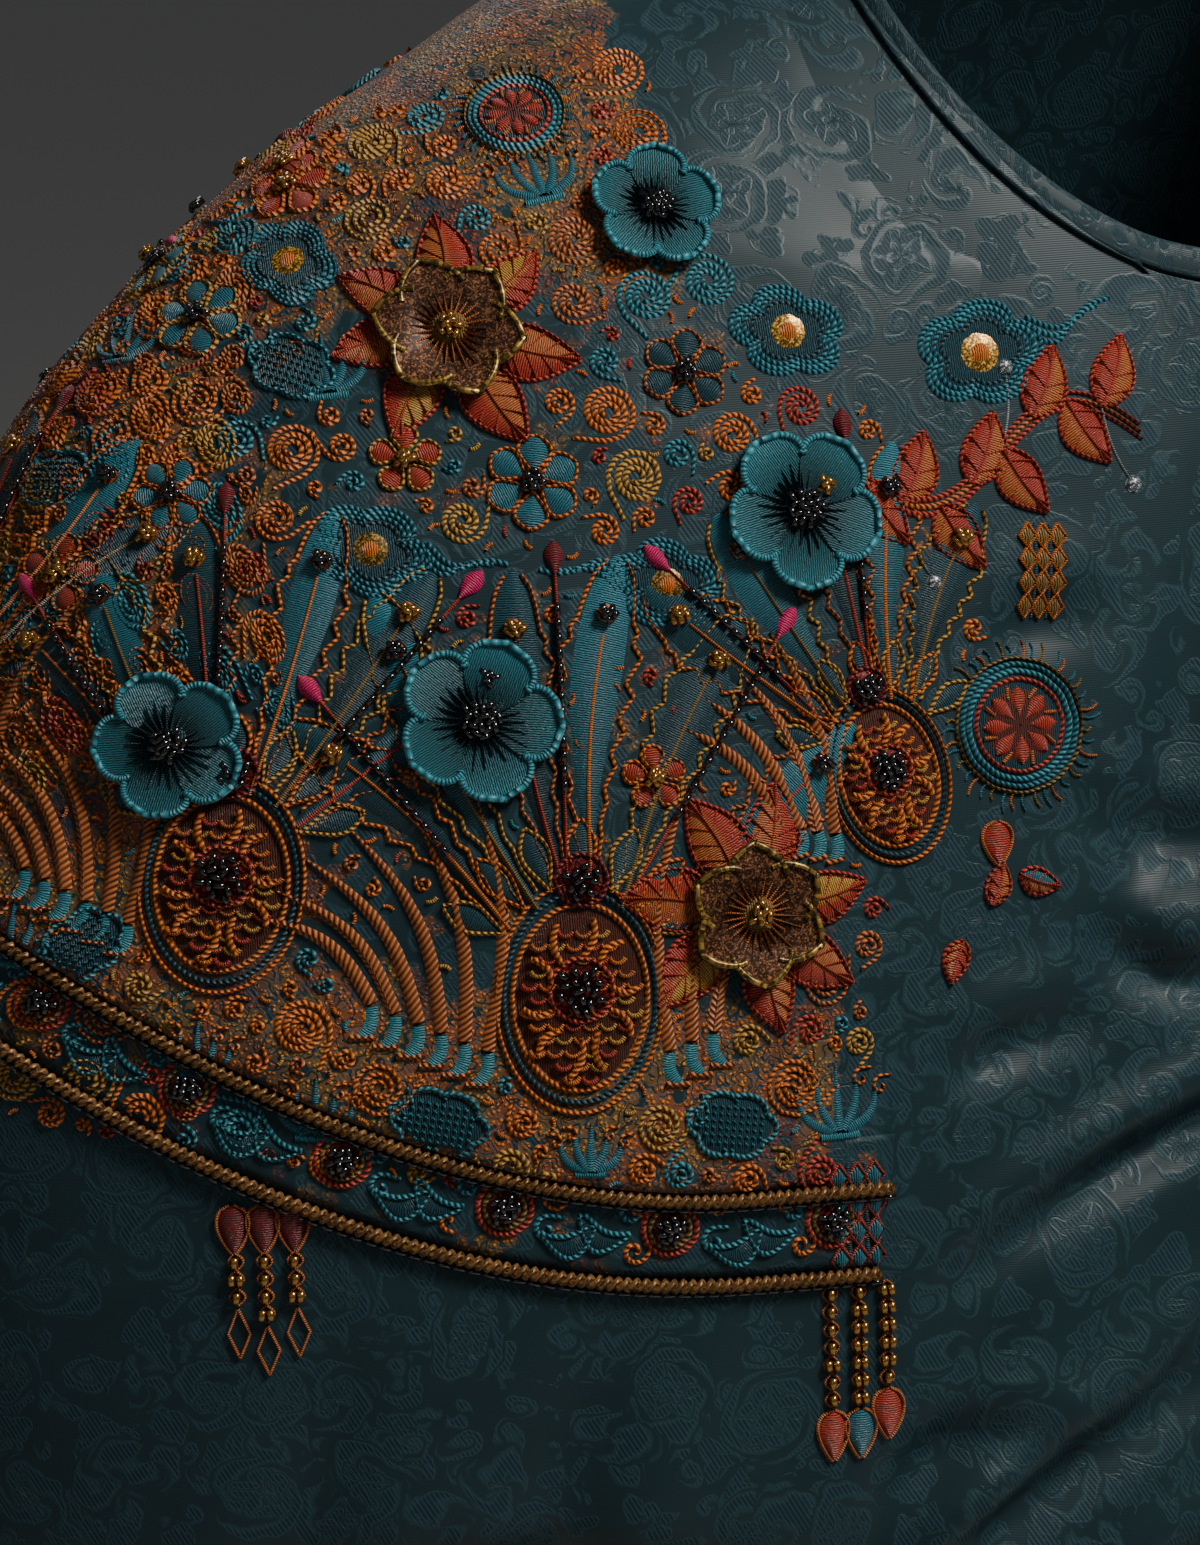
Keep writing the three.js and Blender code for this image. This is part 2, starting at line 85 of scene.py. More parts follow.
# %% Describe the form
CHEST_Z, DEPTH = -360.0, {False: 118.0, True: 112.0}
SEAM_ROWS = np.array([[272, -312], [271, -275], [268, -235], [260, -190], [241, -145],
                      [222, -105], [188, -68], [140, -34], [75, 0]], float)
UNDERARM_X, UNDERARM_WIDTH, UNDERARM_TOP, UNDERARM_FOOT = 168.0, 38.0, -285.0, -352.0
NECK, NECK_DROP = 75.0, {False: 75.0, True: 20.0}
LAP, LAP_LIFT, LAP_RAMP = 11.0, 2.1, 16.0
HEM_Z, HEM_HALF, HEM_DEPTH = -645.0, 195.0, {False: 122.0, True: 116.0}
CENTRE_HEIGHT = {False: [-360, -324, -290, -262, -241.7, -226, -217, -196, -168, -138, -107, -74.2],
                 True: [-360, -322, -287, -259, -240, -224, -214, -190, -155, -115, -70, -20]}
NECK_TURNS = [10, 23, 37, 52, 69, 87]
OUTER_HEIGHT = [-312, -281, -246, -212, -185, -169, -160.5, -139, -113, -87, -63, -42,
                -36.5, -30, -23.5, -16.5, -9, -1.7]
LEVEL = [.30, .36, .42, .46, .49, .497, .49, .45, .38, .30, .20, .10, .07, .04, 0, 0, 0, 0]
RISE = [2, 2, 2, 2, 2, 2, 2, 2, 1.85, 1.7, 1.5, 1.3, 1.2, 1.1, 1, 1, 1, 1]
NECK_ROW, TOP_ROW, LOWER_HEM, CAP_HEM, CAP_COLUMN = 11, 17, 4, 5, 23.6
UNDERARM_COLUMN = 39.3


def unit(v, least=0.0):
    """Vectors of length one, v / max(|v|, least)."""
    return v / np.maximum(np.linalg.norm(v, axis=-1, keepdims=True), least)


def smoothstep(low, high, at):
    """Smooth rise from 0 at low to 1 at high, 3 t^2 - 2 t^3."""
    u = np.clip((at - low) / (high - low), 0, 1)
    return u * u * (3 - 2 * u)


def curve(keys, values, at):
    """Cubic through the rows, with the slope at each key (next - last value) / (next - last key)."""
    keys, values, at = (np.asarray(v, float) for v in (keys, values, at))
    n = np.arange(len(keys))
    a, b = np.maximum(n - 1, 0), np.minimum(n + 1, len(keys) - 1)
    slope = (values[b] - values[a]) / (keys[b] - keys[a])
    i = np.clip(np.searchsorted(keys, at, side="right") - 1, 0, len(keys) - 2)
    gap = keys[i + 1] - keys[i]
    u = (at - keys[i]) / gap
    return ((2 * u**3 - 3 * u**2 + 1) * values[i] + (u**3 - 2 * u**2 + u) * gap * slope[i]
            + (3 * u**2 - 2 * u**3) * values[i + 1] + (u**3 - u**2) * gap * slope[i + 1])


seam_z = np.linspace(SEAM_ROWS[0, 1], 0, 313)
seam_x = curve(SEAM_ROWS[:, 1], SEAM_ROWS[:, 0], seam_z)
seam_angle = np.arctan2(seam_z - CHEST_Z, seam_x)
seam_reach = np.hypot(seam_x, seam_z - CHEST_Z)
NECK_EASE = 0.07


def reach(angle):
    """Distance from the chest centre to the overarm seam, easing off past the neck point."""
    slope = (seam_reach[-1] - seam_reach[-2]) / (seam_angle[-1] - seam_angle[-2])
    past = np.exp(np.minimum(seam_angle[-1] - angle, 0) / NECK_EASE)
    beyond = seam_reach[-1] + slope * NECK_EASE * (1 - past)
    below = SEAM_ROWS[0, 0] / np.cos(np.minimum(angle, seam_angle[0]))
    inside = np.interp(angle, seam_angle, seam_reach)
    return np.where(angle > seam_angle[-1], beyond, np.where(angle < seam_angle[0], below, inside))


def share(x, z):
    """Distance from the chest centre over the reach in that direction."""
    return np.hypot(x, z - CHEST_Z) / reach(np.arctan2(z - CHEST_Z, np.abs(x)))


def drawn_in(x, z):
    """1 - 0.975 * how far the underarm draws front and back together at (x, z)."""
    near = np.exp(-np.abs((np.abs(x) - UNDERARM_X) / UNDERARM_WIDTH) ** 1.6)
    return 1 - 0.975 * smoothstep(-UNDERARM_TOP, -UNDERARM_FOOT, -z) * near


def outward(x, y, z, back):
    """Unit normal (share * d share/dx, y / depth^2, share * d share/dz)."""
    s = share(x, z)
    n = np.stack([s * (share(x + .5, z) - share(x - .5, z)), y / DEPTH[back] ** 2,
                  s * (share(x, z + .5) - share(x, z - .5))], -1)
    return unit(n)


def on_form(row, column, back):
    """Point of the form by row (0 at chest level, 17 at the neck) and column (90 at the seam)."""
    row, column = np.broadcast_arrays(np.asarray(row, float), np.asarray(column, float))
    across = np.sin(np.radians(column))
    first = 0.0 if back else -math.degrees(math.asin(LAP / NECK))
    turn = np.radians(curve(np.arange(7), [first] + NECK_TURNS, np.maximum(row - NECK_ROW, 0)))
    centre = curve(np.arange(12), CENTRE_HEIGHT[back], np.minimum(row, NECK_ROW))
    on_neck = row > NECK_ROW
    x = np.where(on_neck, NECK * np.sin(turn), 0.0 if back else -LAP)
    z = np.where(on_neck, -NECK_DROP[back] * np.cos(turn), centre)
    rows = np.arange(18)
    outer = curve(rows, OUTER_HEIGHT, row)
    level, rise = curve(rows, LEVEL, row), curve(rows, RISE, row)
    climb = np.maximum(0, (across - level) / (1 - level)) ** rise
    x = x + (curve(SEAM_ROWS[:, 1], SEAM_ROWS[:, 0], outer) - x) * across
    z = z + (outer - z) * climb
    y = DEPTH[back] * np.sqrt(np.maximum(0, 1 - share(x, z) ** 2)) * drawn_in(x, z)
    return np.stack([x, y if back else -y, z], -1)


print("neck front", on_form(11, 0, False).round(1), "overarm end", on_form(0, 90, False).round(1))

# %% [markdown]
# ## The flat pattern
# Stitches are drawn flat and then laid on the cloth. A flat point (u, w) lies at the angle
# atan2(w, u) from the chest centre and at its distance measured along the bulging cloth. Past the
# overarm seam the distance runs on down the other side.

# %% Measure along the cloth
tilt = np.linspace(0, math.pi / 2, 181)
ASPECTS = np.linspace(0.28, 0.46, 37)
per_step = np.sqrt(np.cos(tilt) ** 2 + (ASPECTS[:, None] * np.sin(tilt)) ** 2)
ARC = np.concatenate([np.zeros((37, 1)),
                      np.cumsum((per_step[:, 1:] + per_step[:, :-1]) / 2 * np.diff(tilt), 1)], 1)
FRACTIONS = np.linspace(0, 1, 181)
TILT_AT = np.array([np.interp(FRACTIONS, row / row[-1], tilt) for row in ARC])


def look_up(table, aspect, at):
    """Value of a table with a row per aspect and 181 even columns from 0 to 1."""
    i = np.clip((aspect - ASPECTS[0]) / (ASPECTS[1] - ASPECTS[0]), 0, 35.999)
    j = np.clip(at, 0, 1) * 179.999
    a, b = i.astype(int), j.astype(int)
    i, j = i - a, j - b
    return ((table[a, b] * (1 - i) + table[a + 1, b] * i) * (1 - j)
            + (table[a, b + 1] * (1 - i) + table[a + 1, b + 1] * i) * j)


def whole_arc(angle, back):
    """Length along the cloth from the chest centre to the seam."""
    r = reach(angle)
    return r * look_up(ARC, DEPTH[back] / r, np.ones_like(r))


def flat_of(x, z, back):
    """Flat point of a place on the form."""
    angle = np.arctan2(z - CHEST_Z, np.abs(x))
    r = reach(angle)
    lean = np.arcsin(np.clip(share(x, z), 0, 1))
    rho = r * look_up(ARC, DEPTH[back] / r, lean / (math.pi / 2))
    return np.sign(x) * rho * np.cos(angle), rho * np.sin(angle)


def place(u, w, back):
    """Point, outward normal and side (True for the back) of a flat point."""
    u, w = np.asarray(u, float), np.asarray(w, float)
    angle, rho = np.arctan2(w, np.abs(u)), np.hypot(u, w)
    own, other, r = whole_arc(angle, back), whole_arc(angle, not back), reach(angle)
    over = rho > own
    depth = np.where(over, DEPTH[not back], DEPTH[back])
    fraction = np.where(over, (other - rho + own) / other, rho / own)
    lean = look_up(TILT_AT, depth / r, fraction)
    on_back = over != back
    x, z = np.sign(u) * r * np.sin(lean) * np.cos(angle), CHEST_Z + r * np.sin(lean) * np.sin(angle)
    y = np.where(on_back, 1, -1) * depth * np.cos(lean) * drawn_in(x, z)
    front_n, back_n = outward(x, y, z, False), outward(x, y, z, True)
    return np.stack([x, y, z], -1), np.where(on_back[..., None], back_n, front_n), on_back


test = flat_of(*on_form(8, 47, False)[[0, 2]], False)
print("flat point", np.round(test, 1), "and back again", place(*test, False)[0].round(2))

# %% [markdown]
# ## Drape
# Each crease is a row: where it starts and ends on the flat pattern, how far it bows, its width and
# its depth. Across it the cloth goes `-depth * (exp(-(d/w)^2) - 0.5 * exp(-((d - 1.9 w)/w)^2))`, a
# trough with a softer ridge beside it, fading out at both ends.

# %% Lay out the creases
CREASES = {
    "front_right": [(96, 104, 6, 146, 4, 4.8, 7.4), (100, 46, 2, 102, 4, 5.2, 8.4),
                    (56, 176, 6, 168, -8, 4.8, 6.0), (44, 84, 6, 114, 3, 4.6, 5.4),
                    (102, 76, 56, 82, 3, 4.8, 5.0), (58, 198, 12, 190, -3, 4.8, 4.6),
                    (92, 146, 44, 160, 3, 4.6, 3.4), (84, 20, 10, 60, 5, 5.5, 5.0),
                    (80, 226, 36, 232, 3, 5.5, 2.4), (22, 262, 60, 150, 7, 7.5, 2.8),
                    (66, 124, 122, 36, 6, 6, 3.6), (140, 128, 162, 34, -5, 9, 3.6),
                    (196, 124, 212, 50, 4, 8, 3.0), (2, 120, 40, -60, 5, 9, 4.0),
                    (60, -6, 26, -262, 14, 13, 7.0), (128, 4, 104, -274, -11, 12, 7.6),
                    (170, -40, 156, -278, 7, 9, 5.0), (92, -90, 70, -280, 6, 8, 4.4)],
    "front_left": [(26, 262, 88, 70, 8, 8, 5.0), (10, 214, 66, 22, -6, 8.5, 5.0),
                   (60, 150, 108, 46, 6, 7, 4.0), (150, 126, 170, 44, 5, 9, 3.6),
                   (208, 124, 220, 56, -4, 8, 3.0), (48, 0, 38, -260, -13, 13, 7.2),
                   (116, 6, 126, -276, 11, 12, 7.4), (166, -50, 148, -278, -7, 9, 5.0)],
    "back": [(58, 300, 92, 60, 10, 9, 5.6), (-52, 292, -98, 50, -9, 9, 5.2),
             (18, 216, 34, -70, 8, 9, 5.0), (-26, 190, -46, -80, -7, 8.5, 4.8),
             (112, 124, 62, -80, 10, 8, 5.0), (-118, 128, -66, -92, -11, 8, 5.0),
             (90, -20, 106, -272, 11, 13, 7.4), (-84, -30, -94, -270, -10, 13, 7.0),
             (14, -60, 8, -274, 9, 12, 6.4), (158, -40, 150, -276, 6, 9, 5.0),
             (-160, -50, -146, -272, -6, 9, 5.0)],
    "cap": [(176, 222, 189, 158, 3, 5, 1.5), (128, 210, 122, 150, -3, 6, 1.0),
            (232, 238, 240, 182, 4, 6, 1.3), (196, 300, 214, 240, 3, 8, 0.9),
            (134, 316, 150, 262, -3, 9, 0.8)],
}


def creases(name, u, w):
    """Sum over the table's rows of the trough and ridge described above."""
    total = np.zeros_like(u)
    for u0, w0, u1, w1, bow, width, depth in CREASES[name]:
        length = math.hypot(u1 - u0, w1 - w0)
        along = ((u - u0) * (u1 - u0) + (w - w0) * (w1 - w0)) / length**2
        d = ((u - u0) * (w1 - w0) - (w - w0) * (u1 - u0)) / length
        inside = np.clip(along, 0, 1)
        d = d - bow * np.sin(math.pi * inside)
        fade = np.sin(math.pi * inside) ** 1.4 * (0.75 + 0.25 * np.cos(5 * inside + u0))
        total -= depth * fade * (np.exp(-(d / width) ** 2)
                                 - 0.5 * np.exp(-((d - 1.9 * width) / width) ** 2))
    return total


cap_edge, cap_hem, tier_hem = {}, {}, {}
for side in (False, True):
    edge = on_form(np.linspace(LOWER_HEM, 16, 80), CAP_COLUMN, side)
    cap_edge[side] = (edge[:, 2], edge[:, 0])
    for table, row in ((cap_hem, CAP_HEM), (tier_hem, LOWER_HEM)):
        hem = on_form(row, np.linspace(0, 90, 120), side)
        table[side] = (hem[:, 0], hem[:, 2])


def heights(u, w, x, z, back, name):
    """Heights over the form of the cap and the panel, and of the uppermost cloth there. The cap
    is -0.3 + 0.42 f + 1.38 e + 1.5 h + its own soft relief: f and e rise from its front edge, h
    near its hem. The panel's creases flatten out under both tiers."""
    x = np.abs(x)
    inner = x - np.interp(z, *cap_edge[back])
    over_cap_hem = z - np.interp(x, *cap_hem[back])
    over_tier_hem = z - np.interp(x, *tier_hem[back])
    e = smoothstep(0, 46, inner)
    h = 1 - smoothstep(0, 24, over_cap_hem)
    soft = np.maximum(0, 0.9 + 0.45 * np.sin(u / 9.5 + 1.1 * np.sin(w / 17))
                      * np.sin(w / 12.5 + u / 31) + creases("cap", np.abs(u), w))
    cap = -0.3 + 0.42 * smoothstep(0, 9, inner) + 1.38 * e + 1.5 * h + soft * e
    covered = smoothstep(-18, -2, inner) * smoothstep(-12, -3, over_tier_hem)
    cloth = creases(name, u, w) * (1 - covered)
    on_cap = (inner > -0.01) & (over_cap_hem > -0.01)
    on_tier = (inner > -0.01) & (over_tier_hem > -0.01) & ~on_cap
    return cap, cloth, np.where(on_cap, np.maximum(cap, cloth), np.where(on_tier, 1.5, cloth))


print({name: len(rows) for name, rows in CREASES.items()}, "creases")

# %% [markdown]
# ## Meshes
# A grid of points becomes one mesh with a UV map `flat` in millimetres of the pattern, so the
# weave runs on across every piece.

# %% Make meshes from arrays
def grid_faces(rows, columns, start=0):
    """Quads of a rows x columns grid of points numbered row by row."""
    first = np.arange(rows - 1)[:, None] * columns + np.arange(columns - 1) + start
    return np.stack([first, first + 1, first + columns + 1, first + columns], -1).reshape(-1, 4)


def make_mesh(name, points, faces, material, flat=None, colours=None, smooth=True):
    """A mesh object from points in millimetres; flat gives the UV map, colours the tint."""
    mesh = bpy.data.meshes.new(name)
    points, faces = np.asarray(points, float), np.asarray(faces)
    mesh.vertices.add(len(points))
    mesh.vertices.foreach_set("co", (points * MM).ravel())
    mesh.loops.add(faces.size)
    mesh.loops.foreach_set("vertex_index", faces.ravel())
    mesh.polygons.add(len(faces))
    mesh.polygons.foreach_set("loop_start", np.arange(0, faces.size, faces.shape[1]))
    mesh.update(calc_edges=True)
    mesh.validate()
    if smooth:
        mesh.polygons.foreach_set("use_smooth", np.ones(len(mesh.polygons), bool))
    corner = np.empty(len(mesh.loops), int)
    mesh.loops.foreach_get("vertex_index", corner)
    if flat is not None:
        layer = mesh.uv_layers.new(name="flat")
        layer.data.foreach_set("uv", np.asarray(flat, float)[corner].ravel())
    if colours is not None:
        tint = mesh.color_attributes.new(name="tint", type="FLOAT_COLOR", domain="POINT")
        rgba = np.concatenate([colours, np.ones((len(points), 1))], 1)
        tint.data.foreach_set("color", rgba.ravel())
    mesh.materials.append(material)
    piece = bpy.data.objects.new(name, mesh)
    scene.collection.objects.link(piece)
    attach(piece, "root")
    return piece


def thicken(piece, thickness):
    """Gives the sheet its thickness, measured inwards from the modelled side."""
    shell = piece.modifiers.new("cloth", "SOLIDIFY")
    shell.thickness, shell.offset = thickness * MM, -1.0
    return piece


def grid_normals(points):
    """Unit cross product of the differences along rows and columns."""
    n = np.cross(np.gradient(points, axis=1), np.gradient(points, axis=0))
    return unit(n, 1e-9)


print("mesh tools ready")

# %% [markdown]
# ## Node tools
# `Wires` adds a node, feeds its inputs from values or other nodes and hands back its output.

# %% Wire up nodes
class Wires:
    def __init__(self, tree):
        self.tree = tree

    def node(self, kind, feeds=(), **settings):
        """A node with its inputs fed from values or wires and its settings made."""
        made = self.tree.nodes.new(kind)
        for key, value in settings.items():
            setattr(made, key, value)
        for key, value in dict(feeds).items():
            self.feed(made.inputs[key], value)
        return made

    def feed(self, socket, value):
        """Joins a wire to a socket, or sets the socket to a value."""
        if isinstance(value, bpy.types.NodeSocket):
            self.tree.links.new(value, socket)
        else:
            socket.default_value = value

    def math(self, operation, *values):
        """One step of arithmetic on numbers."""
        return self.node("ShaderNodeMath", enumerate(values), operation=operation).outputs[0]

    def vector(self, operation, *values):
        """One step of arithmetic on vectors."""
        made = self.node("ShaderNodeVectorMath", enumerate(values), operation=operation)
        return made.outputs["Value" if operation == "LENGTH" else "Vector"]

    def scaled(self, vector, amount):
        """A vector or colour times a number."""
        feeds = {0: vector, "Scale": amount}
        return self.node("ShaderNodeVectorMath", feeds, operation="SCALE").outputs[0]

    def blend(self, amount, a, b):
        """From the first colour to the second as the factor goes from 0 to 1."""
        feeds = {0: amount, 6: a, 7: b}
        return self.node("ShaderNodeMix", feeds, data_type="RGBA").outputs[2]

    def step(self, value, low, high):
        """Smooth rise from 0 to 1 between two values."""
        feeds = {"Value": value, "From Min": low, "From Max": high}
        return self.node("ShaderNodeMapRange", feeds, interpolation_type="SMOOTHSTEP").outputs[0]

    def noise(self, vector, scale, detail=2.0):
        """Soft random value and colour that change over 1 / scale millimetres."""
        feeds = {"Vector": vector, "Scale": scale, "Detail": detail}
        return self.node("ShaderNodeTexNoise", feeds)

    def flat(self):
        """The cloth's flat pattern in millimetres."""
        return self.node("ShaderNodeUVMap", uv_map="flat").outputs[0]

    def specks(self, vector, scale):
        """Distance to the nearest scattered point and three random values of its cell."""
        cells = self.node("ShaderNodeTexVoronoi", {"Vector": vector, "Scale": scale})
        values = self.node("ShaderNodeSeparateColor", {0: cells.outputs["Color"]}).outputs
        return cells.outputs["Distance"], values

    def relief(self, shader, height, distance, strength=1.0, **more):
        """Tilts the shader's normal by the slope of a height value."""
        feeds = {"Strength": strength, "Distance": distance, "Height": height, **more}
        self.feed(shader.inputs["Normal"], self.node("ShaderNodeBump", feeds).outputs[0])


def new_group(name, inputs, outputs):
    """A node group with the given sockets, its wires and its two end nodes."""
    tree = bpy.data.node_groups.new(name, "ShaderNodeTree")
    for label, kind, value in inputs:
        socket = tree.interface.new_socket(label, in_out="INPUT", socket_type=kind)
        if value is not None:
            socket.default_value = value
    for label, kind in outputs:
        tree.interface.new_socket(label, in_out="OUTPUT", socket_type=kind)
    wires = Wires(tree)
    return tree, wires, tree.nodes.new("NodeGroupInput").outputs, tree.nodes.new("NodeGroupOutput")


def new_material(name, colour, roughness, metallic=0.0, specular=0.5, sheen=0.0, tint=None):
    """A material, its Principled shader and its wires."""
    material = bpy.data.materials.new(name)
    material.use_nodes = True
    material.diffuse_color = (*colour, 1)
    shader = material.node_tree.nodes["Principled BSDF"]
    shader.inputs["Base Color"].default_value = (*colour, 1)
    shader.inputs["Roughness"].default_value = roughness
    shader.inputs["Metallic"].default_value = metallic
    shader.inputs["Specular IOR Level"].default_value = specular
    shader.inputs["Sheen Weight"].default_value = sheen
    shader.inputs["Sheen Roughness"].default_value = 0.4
    if tint:
        shader.inputs["Sheen Tint"].default_value = (*tint, 1)
    return material, shader, Wires(material.node_tree)


print("node tools ready")

# %% [markdown]
# ## Silk jacquard
# The woven figures are flower heads with curling arms, one in each random cell of the pattern, and
# small hooks between them. Every figure is a signed distance F in millimetres: inside it the weave
# shows slanting ribs, outside it is smooth satin, and a thin rib marks its edge.

# %% Weave the figures
def woven_cell(wires, flat, size, jitter):
    """Distance r and angle a from the middle of a random cell about size wide."""
    q = wires.scaled(flat, 1 / size)
    cell = wires.node("ShaderNodeTexVoronoi", {"Vector": q, "Scale": 1.0, "Randomness": jitter})
    local = wires.scaled(wires.vector("SUBTRACT", q, cell.outputs["Position"]), size)
    pick = wires.node("ShaderNodeSeparateColor", {0: cell.outputs["Color"]}).outputs
    turned = wires.node("ShaderNodeVectorRotate", {
        "Vector": local, "Angle": wires.math("MULTIPLY", pick[0], 6.283)},
        rotation_type="Z_AXIS").outputs[0]
    xyz = wires.node("ShaderNodeSeparateXYZ", {0: turned}).outputs
    r = wires.vector("LENGTH", turned)
    return r, wires.math("ARCTAN2", xyz[1], xyz[0]), pick


def spiral_arms(wires, r, a, arms, wind, start, width):
    """Distance into arms of a spiral: (width - |2 frac(arms a / 2 pi + wind ln(r / start)) - 1|) r."""
    turn = wires.math("MULTIPLY_ADD", a, arms / 6.2832,
                      wires.math("MULTIPLY", wires.math("LOGARITHM", wires.math(
                          "DIVIDE", r, start), 2.71828), wind))
    saw = wires.math("ABSOLUTE", wires.math("MULTIPLY_ADD", wires.math("FRACT", turn), 2.0, -1.0))
    return wires.math("MULTIPLY", wires.math("SUBTRACT", width, saw), wires.math(
        "MULTIPLY", r, 0.42 / arms))


jacquard, w, given, out = new_group(
    "jacquard", [("Flat", "NodeSocketVector", None)],
    [("Figure", "NodeSocketFloat"), ("Edge", "NodeSocketFloat"), ("Rib", "NodeSocketFloat"),
     ("Height", "NodeSocketFloat")])
flat = given["Flat"]
sway = w.vector("SUBTRACT", w.noise(flat, 0.07, 1.0).outputs["Color"], (0.5, 0.5, 0.5))
wobble = w.vector("SUBTRACT", w.noise(flat, 0.26, 2.0).outputs["Color"], (0.5, 0.5, 0.5))
warped = w.vector("ADD", w.vector("ADD", flat, w.scaled(sway, 8.5)), w.scaled(wobble, 2.3))
r, a, pick = woven_cell(w, warped, 16.0, 0.85)
lobe = w.math("POWER", w.math("ABSOLUTE", w.math("COSINE", w.math("MULTIPLY", a, 2.5))), 0.6)
petal_reach = w.math("MULTIPLY_ADD", lobe, 2.3, 3.2)
petals = w.math("SUBTRACT", petal_reach, r)
ring = w.math("SUBTRACT", w.math("ABSOLUTE", w.math("MULTIPLY_ADD", petal_reach, -0.55, r)), 0.32)
slit = w.math("MULTIPLY_ADD", w.math("MULTIPLY", w.math("ABSOLUTE", w.math(
    "SINE", w.math("MULTIPLY", a, 2.5))), r), 0.4, -0.30)
flower = w.math("MINIMUM", w.math("MINIMUM", petals, ring), slit)
flower = w.math("MAXIMUM", flower, w.math("SUBTRACT", 1.5, r))
arms = spiral_arms(w, r, a, 2, 1.35, 3.5, 0.52)
arms = w.math("MINIMUM", arms, w.math("SUBTRACT", r, w.math("ADD", petal_reach, 0.7)))
arms = w.math("MINIMUM", arms, w.math("SUBTRACT", 8.2, r))
large = w.math("MAXIMUM", flower, arms)
r2, a2, pick2 = woven_cell(w, w.vector("ADD", warped, (61.0, 23.0, 0.0)), 6.8, 0.95)
hook = spiral_arms(w, r2, a2, 1, 0.95, 2.1, 0.50)
leaf = w.math("SUBTRACT", w.math("MULTIPLY_ADD", w.math("ABSOLUTE", w.math(
    "COSINE", w.math("MULTIPLY", a2, 1.5))), 3.2, 1.1), r2)
small = w.math("MAXIMUM", w.math("MINIMUM", hook, w.math("SUBTRACT", 3.2, r2)),
               w.math("SUBTRACT", leaf, w.math("MULTIPLY", w.math("GREATER_THAN", pick2[1], 0.55), 9)))
small = w.math("MINIMUM", small, w.math("SUBTRACT", -0.9, large))
figure = w.math("MAXIMUM", large, small)
mask = w.step(figure, -0.14, 0.14)
edge = w.math("SUBTRACT", 1.0, w.step(w.math("ABSOLUTE", figure), 0.10, 0.32))
xyz = w.node("ShaderNodeSeparateXYZ", {0: flat}).outputs
slant = w.math("MULTIPLY_ADD", xyz[0], 0.86, w.math("MULTIPLY", xyz[1], 0.5))
rib = w.math("MULTIPLY_ADD", w.math("SINE", w.math("MULTIPLY", slant, 6.2832 / 0.78)), 0.5, 0.5)
float_line = w.math("SINE", w.math("MULTIPLY", xyz[1], 6.2832 / 0.42))
satin = w.math("MULTIPLY", float_line, 0.12)
ribbed = w.math("MULTIPLY", w.math("MULTIPLY", rib, mask), 0.05)
height = w.math("ADD", w.math("MULTIPLY_ADD", edge, 0.03, ribbed), w.math("MULTIPLY", satin, 0.05))
for label, value in (("Figure", mask), ("Edge", edge), ("Rib", rib), ("Height", height)):
    w.feed(out.inputs[label], value)

silk, shader, w = new_material("teal silk jacquard", (0.010, 0.026, 0.033), 0.4, specular=0.24,
                               sheen=0.03, tint=(0.35, 0.6, 0.68))
flat = w.flat()
woven = w.node("ShaderNodeGroup", node_tree=jacquard)
w.feed(woven.inputs["Flat"], flat)
figure, edge, rib, height = (woven.outputs[k] for k in ("Figure", "Edge", "Rib", "Height"))
patch = w.noise(flat, 0.035, 2.0).outputs[0]
ground = w.blend(patch, (0.006, 0.018, 0.024, 1), (0.013, 0.034, 0.041, 1))
# the twill's own rib lines, painted darker in their grooves and lighter on their crests: partly weave,
# partly painted shade and light
raised = w.blend(rib, (0.004, 0.018, 0.026, 1), (0.013, 0.042, 0.055, 1))
colour = w.blend(w.math("MULTIPLY", edge, 0.45), w.blend(figure, ground, raised),
                 (0.020, 0.058, 0.070, 1))
w.feed(shader.inputs["Base Color"], colour)
w.feed(shader.inputs["Roughness"], w.math("MULTIPLY_ADD", figure, 0.18, 0.42))
w.relief(shader, height, 0.001, 0.9)
print("jacquard group", len(jacquard.nodes), "nodes")

# %% [markdown]
# ## Meandering ground stitches
# Gaps between the motifs are filled with fine looping lines: the level lines of a warped noise.
# The attribute `stitched` says how densely they cover the cloth.

# %% Stitch the ground
meander, w, given, out = new_group(
    "meandering stitches", [("Flat", "NodeSocketVector", None), ("Cover", "NodeSocketFloat", 0.0)],
    [("Stitched", "NodeSocketFloat"), ("Colour", "NodeSocketColor"), ("Height", "NodeSocketFloat")])
flat = given["Flat"]
drift = w.vector("SUBTRACT", w.noise(flat, 0.33, 1.0).outputs["Color"], (0.5, 0.5, 0.5))
moved = w.vector("ADD", flat, w.scaled(drift, 5.0))
level = w.noise(moved, 0.15, 1.0).outputs[0]
line = w.math("ABSOLUTE", w.math("MULTIPLY_ADD", w.math("FRACT", w.math(
    "MULTIPLY", level, 10.0)), 2.0, -1.0))
thread = w.math("SUBTRACT", 1.0, w.step(line, 0.62, 0.84))
knot_distance, tone = w.specks(flat, 1.15)
patchy = w.noise(flat, 0.12, 2.0).outputs[0]
shown = w.step(w.math("MULTIPLY_ADD", patchy, 0.9, w.math("SUBTRACT", given["Cover"], 0.45)),
               0.36, 0.5)
grain = w.math("SUBTRACT", 1.0, w.step(knot_distance, 0.10, 0.55))
stitched = w.math("MULTIPLY", shown, w.math("MULTIPLY", thread, w.math(
    "MULTIPLY_ADD", grain, 0.75, 0.25)))
warm = w.blend(w.step(w.noise(flat, 0.09, 1.0).outputs[0], 0.4, 0.6),
               (0.70, 0.17, 0.010, 1), (0.50, 0.23, 0.026, 1))
